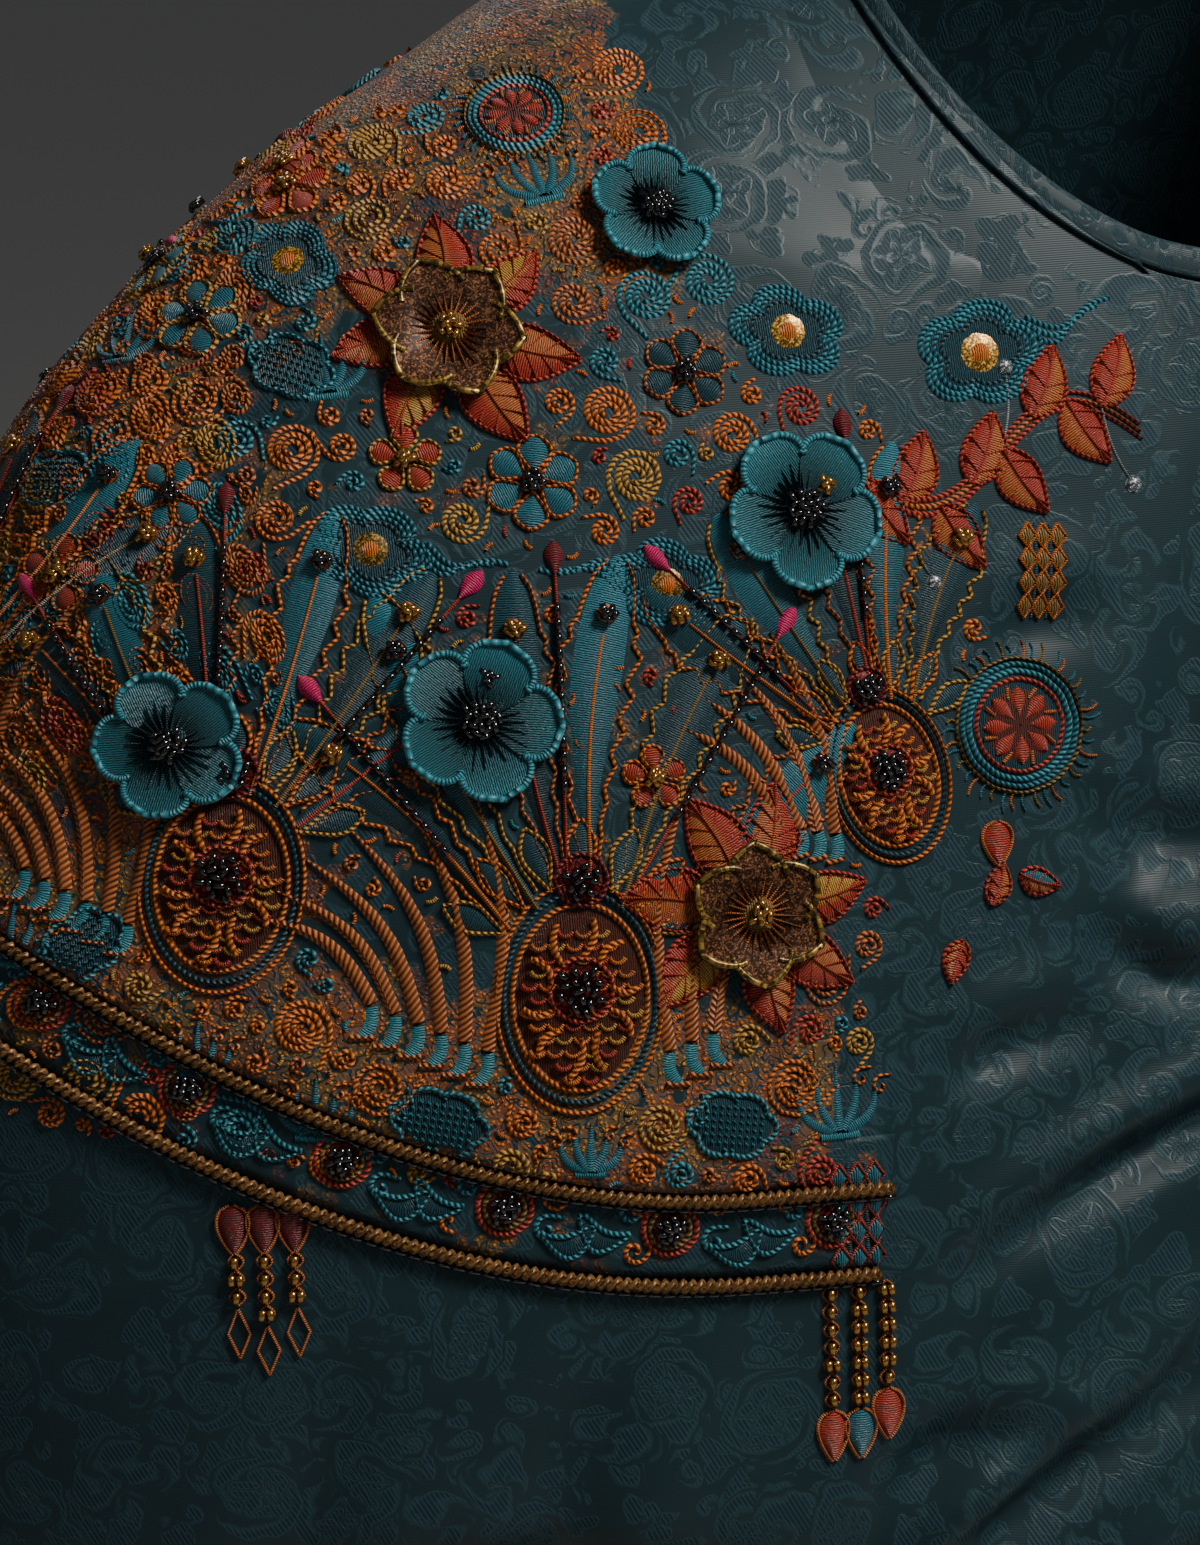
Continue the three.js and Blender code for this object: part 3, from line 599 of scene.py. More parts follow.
warm = w.blend(w.step(w.noise(flat, 0.055, 1.0).outputs[0], 0.52, 0.66), warm,
               (0.26, 0.055, 0.022, 1))
colour = w.blend(w.math("MULTIPLY", tone[0], 0.4), warm, (0.09, 0.035, 0.015, 1))
relief = w.math("MULTIPLY", stitched, w.math("MULTIPLY_ADD", tone[1], 0.5, 0.5))
for label, value in (("Stitched", stitched), ("Colour", colour), ("Height", relief)):
    w.feed(out.inputs[label], value)

cap_silk = silk.copy()
cap_silk.name = "silk with ground stitches"
w = Wires(cap_silk.node_tree)
shader = cap_silk.node_tree.nodes["Principled BSDF"]
old_colour, old_rough, old_normal = (shader.inputs[k].links[0].from_socket
                                     for k in ("Base Color", "Roughness", "Normal"))
ground = w.node("ShaderNodeGroup", node_tree=meander)
w.feed(ground.inputs["Flat"], w.flat())
w.feed(ground.inputs["Cover"], w.node("ShaderNodeAttribute", attribute_name="stitched").outputs["Fac"])
stitched, colour, relief = (ground.outputs[k] for k in ("Stitched", "Colour", "Height"))
w.feed(shader.inputs["Base Color"], w.blend(stitched, old_colour, colour))
w.feed(shader.inputs["Roughness"], w.math("MULTIPLY_ADD", stitched, -0.06, old_rough))
w.feed(shader.inputs["Metallic"], w.math("MULTIPLY", stitched, 0.1))
w.feed(shader.inputs["Specular IOR Level"], w.math("MULTIPLY_ADD", stitched, -0.12, 0.24))
w.relief(shader, relief, 0.0004, Normal=old_normal)
print("ground stitches", len(meander.nodes), "nodes")

# %% [markdown]
# ## Cloth panels
# Fine rows and columns of the form, raised by the creases. The lower body runs straight from chest
# level to the hem. The right front laps over the left one.

# %% Build the fronts and the back
def lap_lift(x):
    """How far the right front stands over the left one where they lap."""
    return LAP_LIFT * (1 - smoothstep(LAP + 2, LAP + 2 + LAP_RAMP, x))


def relax(points, rows, columns, back):
    """Even out the grid beside the neckline: x and z move towards the mean of their four
    neighbours, and y follows the form again."""
    ease = smoothstep(7, 10, rows)[1:-1, None] * (1 - smoothstep(35, 60, columns))[None, 1:-1]
    x, z = points[..., 0].copy(), points[..., 2].copy()
    for _ in range(1200):
        for a in (x, z):
            middle = (a[:-2, 1:-1] + a[2:, 1:-1] + a[1:-1, :-2] + a[1:-1, 2:]) / 4
            a[1:-1, 1:-1] += 0.9 * ease * (middle - a[1:-1, 1:-1])
    y = DEPTH[back] * np.sqrt(np.maximum(0, 1 - share(x, z) ** 2)) * drawn_in(x, z)
    return np.stack([x, y if back else -y, z], -1)


def half_panel(back, name, sign):
    """Upper and lower grid of one half of a panel on the side of positive x, with flat points."""
    across, up = (42, 100) if back else (66, 144)
    columns = np.concatenate([np.linspace(0, UNDERARM_COLUMN, across),
                              np.linspace(UNDERARM_COLUMN, 90, 44)[1:]])
    rows = np.linspace(0, TOP_ROW, up)
    upper = relax(on_form(rows[:, None], columns[None, :], back), rows, columns, back)
    u, v = flat_of(upper[..., 0], upper[..., 2], back)
    top, top_u, top_v = upper[0, :across], u[0, :across], v[0, :across]
    hem_x = top[:, 0] * HEM_HALF / top[-1, 0]
    hem_y = HEM_DEPTH[back] * np.sqrt(np.maximum(0, 1 - (hem_x / HEM_HALF) ** 2))
    hem = np.stack([hem_x, hem_y if back else -hem_y, np.full(across, HEM_Z)], -1)
    down = np.linspace(1, 0, 46)[:, None, None]
    lower = top + (hem - top) * down
    lower_u = top_u * (1 + (HEM_HALF / top[-1, 0] - 1) * down[..., 0])
    lower_v = top_v + lower[..., 2] - top[:, 2]
    normals = []
    for points in (lower, upper):
        n = grid_normals(points)
        middle = points - np.array([0, 0, CHEST_Z])
        normals.append(n * np.sign((n * middle * [1, 1, 0.3]).sum(-1).mean()))
    shared = normals[0][-1] + normals[1][0, :across]
    shared = unit(shared)
    normals[0][-1] = normals[1][0, :across] = shared
    grids = []
    for n, points, gu, gv in zip(normals, (lower, upper), (lower_u, u), (lower_v, v)):
        if back:
            n[:, 0, 0] = 0
        signed_u = gu * (sign if back else 1)
        _, rise, _ = heights(signed_u, gv, points[..., 0], points[..., 2], back, name)
        rise = rise * np.minimum(1, np.abs(points[..., 1]) / 18)
        if name == "front_right":
            rise = rise + lap_lift(points[..., 0])
        raised = points + n * rise[..., None]
        edge_y = np.maximum(np.abs(raised[..., 1]), 0.15)
        raised[..., 1] = edge_y if back else -edge_y
        raised[..., 0] *= sign
        grids.append((raised, np.stack([gu * sign, gv], -1)))
    return grids


def join_grids(grids, flips):
    """Points, flat points and outward quads of several grids."""
    points, flat, faces, start = [], [], [], 0
    for (p, f), flip in zip(grids, flips):
        quads = grid_faces(*p.shape[:2], start)
        faces.append(quads[:, ::-1] if flip else quads)
        points.append(p.reshape(-1, 3))
        flat.append(f.reshape(-1, 2))
        start += len(points[-1])
    return np.concatenate(points), np.concatenate(flat), np.concatenate(faces)


def weld(piece):
    """Joins points that coincide, so the panel is one sheet."""
    b = bmesh.new()
    b.from_mesh(piece.data)
    bmesh.ops.remove_doubles(b, verts=b.verts, dist=0.00002)
    b.to_mesh(piece.data)
    b.free()
    return piece


for name, back, signs in (("front_right", False, (-1,)), ("front_left", False, (1,)),
                          ("back", True, (1, -1))):
    grids = [g for sign in signs for g in half_panel(back, name, sign)]
    flips = [(sign > 0) == back for sign in signs for _ in (0, 1)]
    points, flat, faces = join_grids(grids, flips)
    piece = thicken(weld(make_mesh(name + "_cloth", points, faces, silk, flat)), 1.0)
    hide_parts(name)

# %% [markdown]
# ## Caps and lower tiers
# The cap lies on both panels across the overarm seam. Its front edge melts into the cloth and its
# hem stands proud over the narrow lower tier.

# %% Build the tiers
HANDS = ((-1, "right"), (1, "left"))
SEAM = 57
FRONT_LINE = np.array([[125, 104], [140, 99], [163, 94], [195, 82], [215, 68], [240, 62],
                       [255, 64], [270, 78], [285, 92], [300, 104], [322, 112], [350, 112]], float)


def density(u, w, is_cap):
    """How densely ground stitches cover the cap: most above the hem and out over the arm."""
    if not is_cap:
        return np.full(u.shape, 0.32)
    past_edge = u - np.interp(w, *FRONT_LINE.T)
    rise = w - np.interp(u, [90, 150, 200, 250, 300], [131, 135, 141, 150, 160])
    most = np.maximum(1 - smoothstep(16, 44, rise), 0.72 * smoothstep(185, 235, u))
    most = np.maximum(most, 0.8 * smoothstep(288, 318, w))
    return smoothstep(0, 18, past_edge) * (0.30 + 0.70 * most)


def tier_grid(rows, hand, is_cap):
    """Rows of a tier from its front edge over the seam to its back edge."""
    front = np.linspace(CAP_COLUMN, 90, SEAM + 1)
    halves = []
    for back in (False, True):
        columns = front if not back else front[-2::-1]
        points = on_form(rows[:, None], columns[None, :], back)
        if is_cap:
            points = relax(points, rows, columns, back)
        u, v = flat_of(points[..., 0], points[..., 2], back)
        name = "back" if back else ("front_right" if hand < 0 else "front_left")
        height, _, _ = heights(u, v, points[..., 0], points[..., 2], back, name)
        n = outward(points[..., 0], points[..., 1], points[..., 2], back)
        rise = height if is_cap else np.full_like(height, 1.5)
        halves.append((points + n * rise[..., None], np.stack([u * hand, v], -1)))
    points = np.concatenate([h[0] for h in halves], 1)
    points[..., 0] *= hand
    return points, np.concatenate([h[1] for h in halves], 1)


for hand, word in HANDS:
    for node, rows, is_cap in (("shoulder_cap_", np.linspace(CAP_HEM, 16, 78), True),
                               ("lower_tier_", np.linspace(LOWER_HEM, 5.9, 18), False)):
        grid = tier_grid(rows, hand, is_cap)
        points, flat, faces = join_grids([grid], [hand < 0])
        piece = make_mesh(node + word + "_cloth", points, faces, cap_silk, flat)
        cover = piece.data.attributes.new("stitched", "FLOAT", "POINT")
        cover.data.foreach_set("value", density(np.abs(flat[:, 0]), flat[:, 1], is_cap))
        thicken(piece, 0.9)
        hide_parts(node + word)

# %% [markdown]
# ## Threads, glass and metal
# Every thread piece carries its colour in the attribute `tint` and millimetres along and across the
# stitch in its UV map. Satin shows threads across the stitch, painted darker in the grooves between
# them; chain shows a row of V loops, painted darker in their hollows; and metal thread glitters with
# glints painted into its colour.

# %% Spin the threads
def thread_material(name, roughness, metallic, sheen=0.0):
    """A thread that takes its colour from the attribute, with its place along and across."""
    material, shader, w = new_material(name, (0.2, 0.1, 0.05), roughness, metallic, sheen=sheen)
    tint = w.node("ShaderNodeAttribute", attribute_name="tint").outputs["Color"]
    uv = w.node("ShaderNodeSeparateXYZ", {0: w.flat()}).outputs
    return material, shader, w, tint, uv[0], uv[1]


satin, shader, w, tint, along, _ = thread_material("satin thread", 0.45, 0.0, 0.06)
uneven = w.noise(w.flat(), 1.1, 2.0).outputs[0]
phase = w.math("MULTIPLY_ADD", along, 2.4, w.math("MULTIPLY", uneven, 1.1))
strand = w.math("ABSOLUTE", w.math("SINE", w.math("MULTIPLY", phase, 3.1416)))
# painted shade: the colour follows the strand profile, darker in the grooves between threads, with
# random unevenness on top
shade = w.math("MULTIPLY_ADD", strand, 0.75, w.math("MULTIPLY_ADD", uneven, 0.5, 0.25))
w.feed(shader.inputs["Base Color"], w.scaled(tint, shade))
w.relief(shader, strand, 0.0004, 0.8)

chain, shader, w, tint, along, across = thread_material("chain stitch thread", 0.5, 0.1, 0.05)
vee = w.math("MULTIPLY_ADD", w.math("ABSOLUTE", across), -0.8, along)
loop = w.math("ABSOLUTE", w.math("SINE", w.math("MULTIPLY", vee, 3.1416 / 1.15)))
gap = w.step(w.math("ABSOLUTE", across), 0.04, 0.2)
loop_relief_and_shade = w.math("MULTIPLY", w.math("POWER", loop, 0.7), w.math("MULTIPLY_ADD", gap, 0.6, 0.4))
# painted shade: the colour follows the loop relief, darker between the loops and in the middle gap
w.feed(shader.inputs["Base Color"], w.scaled(tint, w.math("MULTIPLY_ADD", loop_relief_and_shade, 0.95, 0.2)))
w.relief(shader, loop_relief_and_shade, 0.0006)

metal, shader, w, tint, _, _ = thread_material("metal thread", 0.36, 0.55)
_, tone = w.specks(w.flat(), 3.2)
# painted glints: a few random specks are painted up to about three times brighter than the thread
painted_glints = w.math("MULTIPLY_ADD", w.math("POWER", tone[0], 3.0), 3.0, 0.22)
w.feed(shader.inputs["Base Color"], w.scaled(tint, painted_glints))
w.relief(shader, tone[1], 0.0005)

black_glass, _, _ = new_material("black glass", (0.004, 0.004, 0.005), 0.12, specular=0.9)
gold_glass, _, _ = new_material("gold lined glass", (0.42, 0.22, 0.055), 0.2, 0.85)
THREADS = {"satin": satin, "chain": chain, "metal": metal}
GLASS = {"black": black_glass, "gold": gold_glass}
TEAL, DEEP, SEA = (.011, .112, .150), (.004, .040, .055), (.018, .165, .205)
ORANGE, GOLD, COPPER = (.52, .125, .010), (.40, .205, .032), (.38, .105, .022)
BRICK, CRIMSON, MAGENTA = (.32, .030, .013), (.13, .008, .010), (.50, .006, .095)
BRONZE, OLIVE, SILVER = (.23, .095, .042), (.17, .10, .020), (.26, .28, .30)
print(len(THREADS), "threads and", len(GLASS), "glasses")

# %% [markdown]
# ## Stitches on the pattern
# A stitch is a ribbon: a path on the flat pattern, half its width at each point, and a rounded
# section. Beads are short rods with a place and a direction. Nothing touches the cloth until all
# of it is drawn; then one call lays every point on the cap, tier or panel below it.

# %% Draw on the flat pattern
rng = np.random.default_rng(11)
CELL = 0.6
CELLS = 640


def sideways(path):
    """Directions across a flat path, to its left."""
    slope = np.gradient(path, axis=0)
    return unit(np.stack([-slope[:, 1], slope[:, 0]], -1), 1e-6)


class Pattern:
    """Stitches and beads of the front or the back, and the cells of the pattern they cover."""

    def __init__(self, back):
        self.back, self.pieces, self.beads = back, {}, {"black": [], "gold": []}
        self.taken = np.zeros((CELLS, CELLS), bool)

    def lay(self, kind, grid, height, uv, colour):
        """Keeps one grid of a stitch, turned so that it faces up, and marks its cells as taken."""
        edge_a, edge_b = grid[1:, :-1] - grid[:-1, :-1], grid[:-1, 1:] - grid[:-1, :-1]
        if (edge_b[..., 0] * edge_a[..., 1] - edge_b[..., 1] * edge_a[..., 0]).sum() < 0:
            grid, height, uv = grid[:, ::-1], height[:, ::-1], uv[:, ::-1]
            colour = colour[:, ::-1] if np.ndim(colour) == 3 else colour
        colour = np.broadcast_to(colour, grid.shape[:2] + (3,))
        self.pieces.setdefault(kind, []).append((grid, height, uv, colour))
        i, j = np.clip((grid / CELL).astype(int), 1, CELLS - 2).reshape(-1, 2).T
        for a, b in ((0, 0), (1, 0), (-1, 0), (0, 1), (0, -1)):
            self.taken[i + a, j + b] = True

    def ribbon(self, kind, path, half, colour, base=0.15, dome=0.5, across=3):
        """Section height = base + dome * sqrt(1 - t^2) for t from -1 to 1 across."""
        path = np.asarray(path, float)
        side = sideways(path)
        half = np.broadcast_to(np.asarray(half, float), len(path))
        t = np.linspace(-1, 1, across)
        grid = path[:, None] + side[:, None] * (half[:, None] * t)[..., None]
        round_up = np.sqrt(half / half.max())[:, None]
        height = base + dome * np.sqrt(1 - t**2) * round_up
        height[:, [0, -1]] = base - 0.3
        along = np.concatenate([[0], np.cumsum(np.linalg.norm(np.diff(path, axis=0), axis=1))])
        uv = np.stack(np.broadcast_arrays(along[:, None], half[:, None] * t), -1)
        self.lay(kind, grid, height, uv + rng.uniform(0, 9), colour)

    def patch(self, kind, outline, colour, base=0.12, dome=0.25, rings=3):
        """Filled shape inside a closed outline, higher towards the middle."""
        outline = np.asarray(outline, float)
        middle = outline[:-1].mean(0)
        s = np.linspace(0.02, 1, rings + 1)
        grid = middle + (outline - middle) * s[:, None, None]
        height = np.broadcast_to(base + dome * np.sqrt(1 - s**2)[:, None], grid.shape[:2]).copy()
        height[-1] = base - 0.3
        self.lay(kind, grid, height, grid - middle, colour)

    def bead(self, glass, x, y, turn, long=2.0, radius=0.62, rise=0.7):
        """Keeps one bead: glass, place, direction, length, radius and height."""
        self.beads[glass].append((x, y, turn, long, radius, rise))

    def free(self, x, y, room):
        """Tells whether a spot is still bare cloth."""
        i, j, n = int(x / CELL), int(y / CELL), int(room / CELL)
        return not self.taken[max(i - n, 0):i + n + 1, max(j - n, 0):j + n + 1].any()


class Spot:
    """Local axes (x right, y up) at a place of the pattern, turned and sized."""

    def __init__(self, x, y, turn=0.0, size=1.0):
        a = math.radians(turn)
        self.x, self.y, self.turn, self.size = x, y, a, size
        self.rows = size * np.array([[math.cos(a), -math.sin(a)], [math.sin(a), math.cos(a)]])

    def __call__(self, x, y):
        local = np.stack(np.broadcast_arrays(np.asarray(x, float), np.asarray(y, float)), -1)
        return local @ self.rows.T + [self.x, self.y]


def bow(x0, y0, x1, y1, rise, n=12):
    """Straight line from end to end, pushed sideways by rise * sin(pi s)."""
    s = np.linspace(0, 1, n)
    length = math.hypot(x1 - x0, y1 - y0)
    off = rise * np.sin(math.pi * s)
    return (x0 + (x1 - x0) * s - (y1 - y0) / length * off,
            y0 + (y1 - y0) * s + (x1 - x0) / length * off)


def spiral(turns, reach_out, inner=0.12, n=22, hand=1):
    """Scroll whose radius shrinks from reach_out to inner * reach_out over the turns."""
    s = np.linspace(0, 1, n)
    r = reach_out * (1 - (1 - inner) * s ** 0.8)
    a = 2 * math.pi * turns * s * hand
    return r * np.cos(a), r * np.sin(a)


def lens(n, widest=0.45, tip=1.0):
    """Half-width of a leaf from stalk to tip, 1 at the widest place."""
    s = np.linspace(0, 1, n)
    power = math.log(0.5) / math.log(widest)
    return np.maximum(np.sin(math.pi * s ** power) ** tip, 0.03)


def lobed(lobes, reach_out, dip=0.25, n=60, squash=1.0):
    """Closed outline of round lobes: r = reach * (1 - dip + dip * sqrt |cos(lobes a / 2)|)."""
    a = np.linspace(0, 2 * math.pi, n)
    r = reach_out * (1 - dip + dip * np.sqrt(np.abs(np.cos(lobes * a / 2))))
    return r * np.cos(a), r * np.sin(a) * squash


fronts, backs = Pattern(False), Pattern(True)
print("two charts of", fronts.taken.shape, "cells")

# %% [markdown]
# ## Motifs
# Traditional ones: lotus palmettes with a fan of plumes, pinnate leaves, clouds, scrolls, ring
# medallions, a rosette roundel, a flowering vine and strings of beads with drops.

# %% Draw the motifs
def cluster(p, spot, glass, reach_out=2.6, count=11, rise=1.0):
    """Beads heaped in a disc: golden-angle spiral of short rods."""
    k = np.arange(count)
    r, a = reach_out * np.sqrt((k + 0.4) / count), 2.4 * k
    xy = spot(r * np.cos(a), r * np.sin(a))
    for (x, y), i in zip(xy, k):
        p.bead(glass, x, y, rng.uniform(0, math.pi), rng.uniform(1.5, 2.1), 0.6,
               rise + 0.9 * (1 - (r[i] / reach_out) ** 2) + rng.uniform(-.15, .15))


def rims(p, kind, spot, x, y, half, width, colour, base, dome):
    """A line of stitches along both edges of a blade."""
    for side in (-1, 1):
        p.ribbon(kind, spot(x + side * half, y), width, colour, base, dome)


def disc(p, spot, lobes, size, wave, count, fill, base, dome):
    """Padded disc of metal thread, with size, wave and count of its lobed outline."""
    outline = spot(*lobed(lobes, size, wave, count))
    p.patch("metal", outline, fill, base, dome, 2)
    return outline


def leaf(p, spot, length, low, high, rim, veins=5):
    """Pinnate leaf: one colour each side of the midrib, rim, midrib and slanting veins."""
    n = 13
    half = lens(n, 0.42, 0.9) * length * 0.3
    x, y = bow(0, 0, 0, length, 0.05 * length, n)
    path = spot(x, y)
    shade = np.array([low] * 4 + [high] * 3)
    p.ribbon("satin", path, half * spot.size, np.broadcast_to(shade, (n, 7, 3)), 0.2, 0.7, 7)
    for side in (-1, 1):
        p.ribbon("chain", spot(x + side * half, y), 0.42, rim, 0.35, 0.6)
        for i in np.linspace(2, n - 4, veins).astype(int):
            tip = min(i + 2, n - 1)
            vx, vy = bow(x[i], y[i], x[tip] + side * half[tip] * 0.9, y[tip], 0, 4)
            p.ribbon("satin", spot(vx, vy), 0.26, rim, 0.75, 0.35)
    p.ribbon("satin", path, 0.36, rim, 0.85, 0.45)


def plume(p, spot, length, colour, rim, wide=4.6, eye="gold", shaft=ORANGE):
    """Feathery leaf: satin blade, rim with 9 backward teeth each side, shaft and a beaded eye."""
    n = 18
    s = np.linspace(0, 1, n)
    half = wide * (0.22 + 0.78 * smoothstep(0.1, 0.72, s)) * np.sqrt(np.maximum(1 - s**7, 0.02))
    x, y = bow(0, 0, 0, length, rng.uniform(-0.05, 0.05) * length, n)
    blend = 0.5 + 1.0 * s[:, None, None] ** 2 * np.ones((n, 5, 1))
    p.ribbon("satin", spot(x, y), half, np.array(colour) * blend, 0.15, 0.5, 5)
    fine = np.linspace(0.06, 0.985, 64)
    teeth = (fine * 9.5) % 1
    reach_out = np.interp(fine, s, half) * (1.0 + 0.42 * teeth * (fine < 0.8)) + 0.35
    fx, fy = np.interp(fine, s, x), np.interp(fine, s, y)
    for side in (-1, 1):
        p.ribbon("chain", spot(fx + side * reach_out, fy - 1.6 * teeth * (fine < 0.8)), 0.36,
                 rim, 0.25, 0.55)
    p.ribbon("satin", spot(x[:14], y[:14]), 0.42, shaft, 0.6, 0.5)
    at = spot(x[14], y[14])
    eye_spot = Spot(*at)
    p.patch("chain", eye_spot(*lobed(9, 2.7, 0.1, 26)), COPPER, 0.5, 0.4, 2)
    cluster(p, eye_spot, eye, 1.5, 6, 1.5)


def scales(p, spot, wide, tall, colours):
    """Rows of small arcs filling an ellipse, every second row shifted by half a scale."""
    a = np.linspace(math.radians(200), math.radians(340), 6)
    for row, y in enumerate(np.arange(-tall + 1, tall - 0.5, 1.75)):
        for x in np.arange(-wide, wide + 0.1, 2.3) + (row % 2) * 1.15:
            if (x / wide) ** 2 + (y / tall) ** 2 < 0.86:
                arc = spot(x + 1.15 * np.cos(a), y + 0.4 + 1.25 * np.sin(a))
                p.ribbon("satin", arc, 0.46, colours[(row + int(x * 3)) % len(colours)], 0.95, 0.6)


def palmette(p, x, y, turn, size=1.0, plumes=6, spread=92, long=46, ribs=(5, 5)):
    """Lotus palmette: scaled head with a beaded heart, crown of loops, plumes above, chain-stitched
    ribs sweeping out from both sides and teal bars at their feet."""
    spot = Spot(x, y, turn, size)
    angles = np.linspace(-spread / 2, spread / 2, plumes) + rng.uniform(-3, 3, plumes)
    for k, angle in enumerate(angles):
        start = spot(*(np.array([-math.sin(math.radians(angle)), math.cos(math.radians(angle))])
                       * 13.0))
        stem = Spot(start[0], start[1], turn + angle, 1.0)
        reach_out = long * size * (1 - 0.16 * abs(angle) / 60) * rng.uniform(0.92, 1.06)
        plume(p, stem, reach_out, TEAL if k % 2 else DEEP, (ORANGE, GOLD, COPPER)[k % 3],
              rng.uniform(4.6, 5.6), ("gold", "black")[k % 2], (ORANGE, OLIVE, BRICK)[k % 3])
        if k < plumes - 1 and k % 2 == 0:
            between = Spot(start[0], start[1], turn + angle + spread / plumes / 2, 1.0)
            stem_to = reach_out * 0.98
            p.ribbon("satin", between(*bow(0, 4, 0, stem_to, 0, 12)), 0.3, BRICK, 0.6, 0.4)
            drop = (MAGENTA, CRIMSON)[k // 2 % 2]
            path = between(*bow(0, stem_to - 1, 0, stem_to + 6, 0, 9))
            p.ribbon("satin", path, 1.7 * lens(9, 0.62, 0.8), drop, 0.6, 0.8, 5)
            for step in np.arange(stem_to * 0.35, stem_to * 0.9, 2.6):
                at = between(0, step)
                p.bead("black", at[0], at[1], between.turn + math.pi / 2, 2.0, 0.55, 1.2)
    for side, count in zip((-1, 1), ribs):
        for k in range(count):
            a = math.radians(4 + 10 * k)
            foot = np.array([side * (12.0 + 3.0 * k), -7.0 + 1.2 * k])
            tip = foot + (36 - 3.4 * k) * np.array([side * math.sin(a), math.cos(a)])
            path = spot(*bow(*foot, *tip, side * 3.0, 18))
            p.ribbon("chain", path, 1.15 * (1 - np.linspace(0, 1, 18) ** 3) + 0.12,
                     np.array(COPPER) * rng.uniform(0.85, 1.15), 0.3, 0.8)
            low = foot - 4.6 * np.array([-side * 0.25, 1.0])
            p.ribbon("satin", spot(*bow(*low, *(foot - [0, 0.5]), side * 0.6, 5)), 1.3, SEA, 0.2, 0.5)
            p.ribbon("chain", spot(*bow(*(low - [side * 1.6, 0]), *(low + [side * 1.6, 0]), 0, 4)),
                     0.55, COPPER, 0.4, 0.5)
    ring = np.linspace(0, 2 * math.pi, 56)
    head = spot(8.6 * np.cos(ring), 12.0 * np.sin(ring))
    p.patch("satin", head, (.06, .014, .006), 0.2, 0.9, 4)
    scales(p, spot, 8.2, 11.4, (ORANGE, COPPER, BRICK, ORANGE, GOLD))
    for scale, colour, half in ((1.0, ORANGE, 0.5), (1.13, DEEP, 0.55), (1.24, ORANGE, 0.38)):
        p.ribbon("chain", spot(8.9 * scale * np.cos(ring), 12.3 * scale * np.sin(ring)), half,
                 colour, 0.3, 0.6)
    for k in range(7):
        a = math.radians(-66 + 22 * k)
        crown = Spot(*spot(10.6 * math.sin(a), 4 + 10.6 * math.cos(a)), turn - math.degrees(a), size)
        half = 1.9 * lens(12, 0.6)
        cx, cy = bow(0, 0, 0, 9.0, 0, 12)
        p.ribbon("satin", crown(cx, cy), half * size, DEEP, 0.25, 0.4, 5)
        rims(p, "chain", crown, cx, cy, half, 0.4, (GOLD, ORANGE)[k % 2], 0.4, 0.5)
    for k in range(10):
        a = 0.3 + 2 * math.pi * k / 10
        flame = spot(*bow(4.0 * math.cos(a), 5.2 * math.sin(a), 7.6 * math.cos(a + 0.2),
                          10.8 * math.sin(a + 0.2), (-1) ** k * 0.9, 8))
        p.ribbon("chain", flame, 0.42 + 0.3 * np.sin(np.linspace(0, 3, 8)), ORANGE, 1.35, 0.6)
    for height, lobes, reach_out, count, rim, width, base, heap, beads, rise in (
            (1.0, 9, 4.2, 36, BRICK, 0.55, 1.2, 3.2, 17, 1.7),
            (15.5, 8, 3.4, 30, CRIMSON, 0.5, 0.7, 2.4, 11, 1.3)):
        heart = Spot(*spot(0, height))
        edge = disc(p, heart, lobes, reach_out * size, 0.06, count, CRIMSON, base, 0.3)
        p.ribbon("chain", edge, width, rim, base, 0.6)
        cluster(p, heart, "black", heap * size, beads, rise)


def curl(p, spot, size, colour, half=0.5, turns=0.85, hand=1):
    """Scroll with a short straight tail."""
    x, y = spiral(turns, size, 0.16, int(9 * turns) + 6, hand)
    tail = np.linspace(-size * 1.1, 0, 5)[:-1]
    x, y = np.concatenate([np.full(4, size), x]), np.concatenate([tail * hand, y])
    half = half * (0.45 + 0.55 * np.sin(np.linspace(0.3, 2.7, len(x))))
    p.ribbon("chain", spot(x, y), half, colour, 0.2, 0.5)


def cloud(p, x, y, turn, size, inner=GOLD, tail=True):
    """Lobed cloud: three rings of chain stitch, a beaded-looking core and a curling tail."""
    spot = Spot(x, y, turn, size)
    p.patch("satin", spot(*lobed(5, 10.4, 0.3, 60, 0.78)), DEEP, 0.1, 0.2, 4)
    for reach_out, colour in ((10.6, TEAL), (9.4, SEA), (8.1, TEAL), (6.8, DEEP)):
        p.ribbon("chain", spot(*lobed(5, reach_out, 0.3, 60, 0.78)), 0.6, colour, 0.2, 0.5)
    if tail:
        for off, colour in ((0.0, TEAL), (1.3, SEA), (2.6, TEAL)):
            tx, ty = bow(9.0, -4 + off, 24 - off * 2, -5 + off * 0.6, 3.0, 18)
            ty = ty + 1.5 * np.sin(np.linspace(0, 7, 18)) * np.linspace(0.2, 1, 18)
            p.ribbon("chain", spot(tx, ty), 0.62, colour, 0.2, 0.5)
    disc(p, spot, 8, 4.0, 0.08, 30, inner, 0.35, 0.3)
    p.patch("satin", spot(*lobed(8, 1.8, 0.05, 20)), ORANGE, 0.7, 0.4, 2)


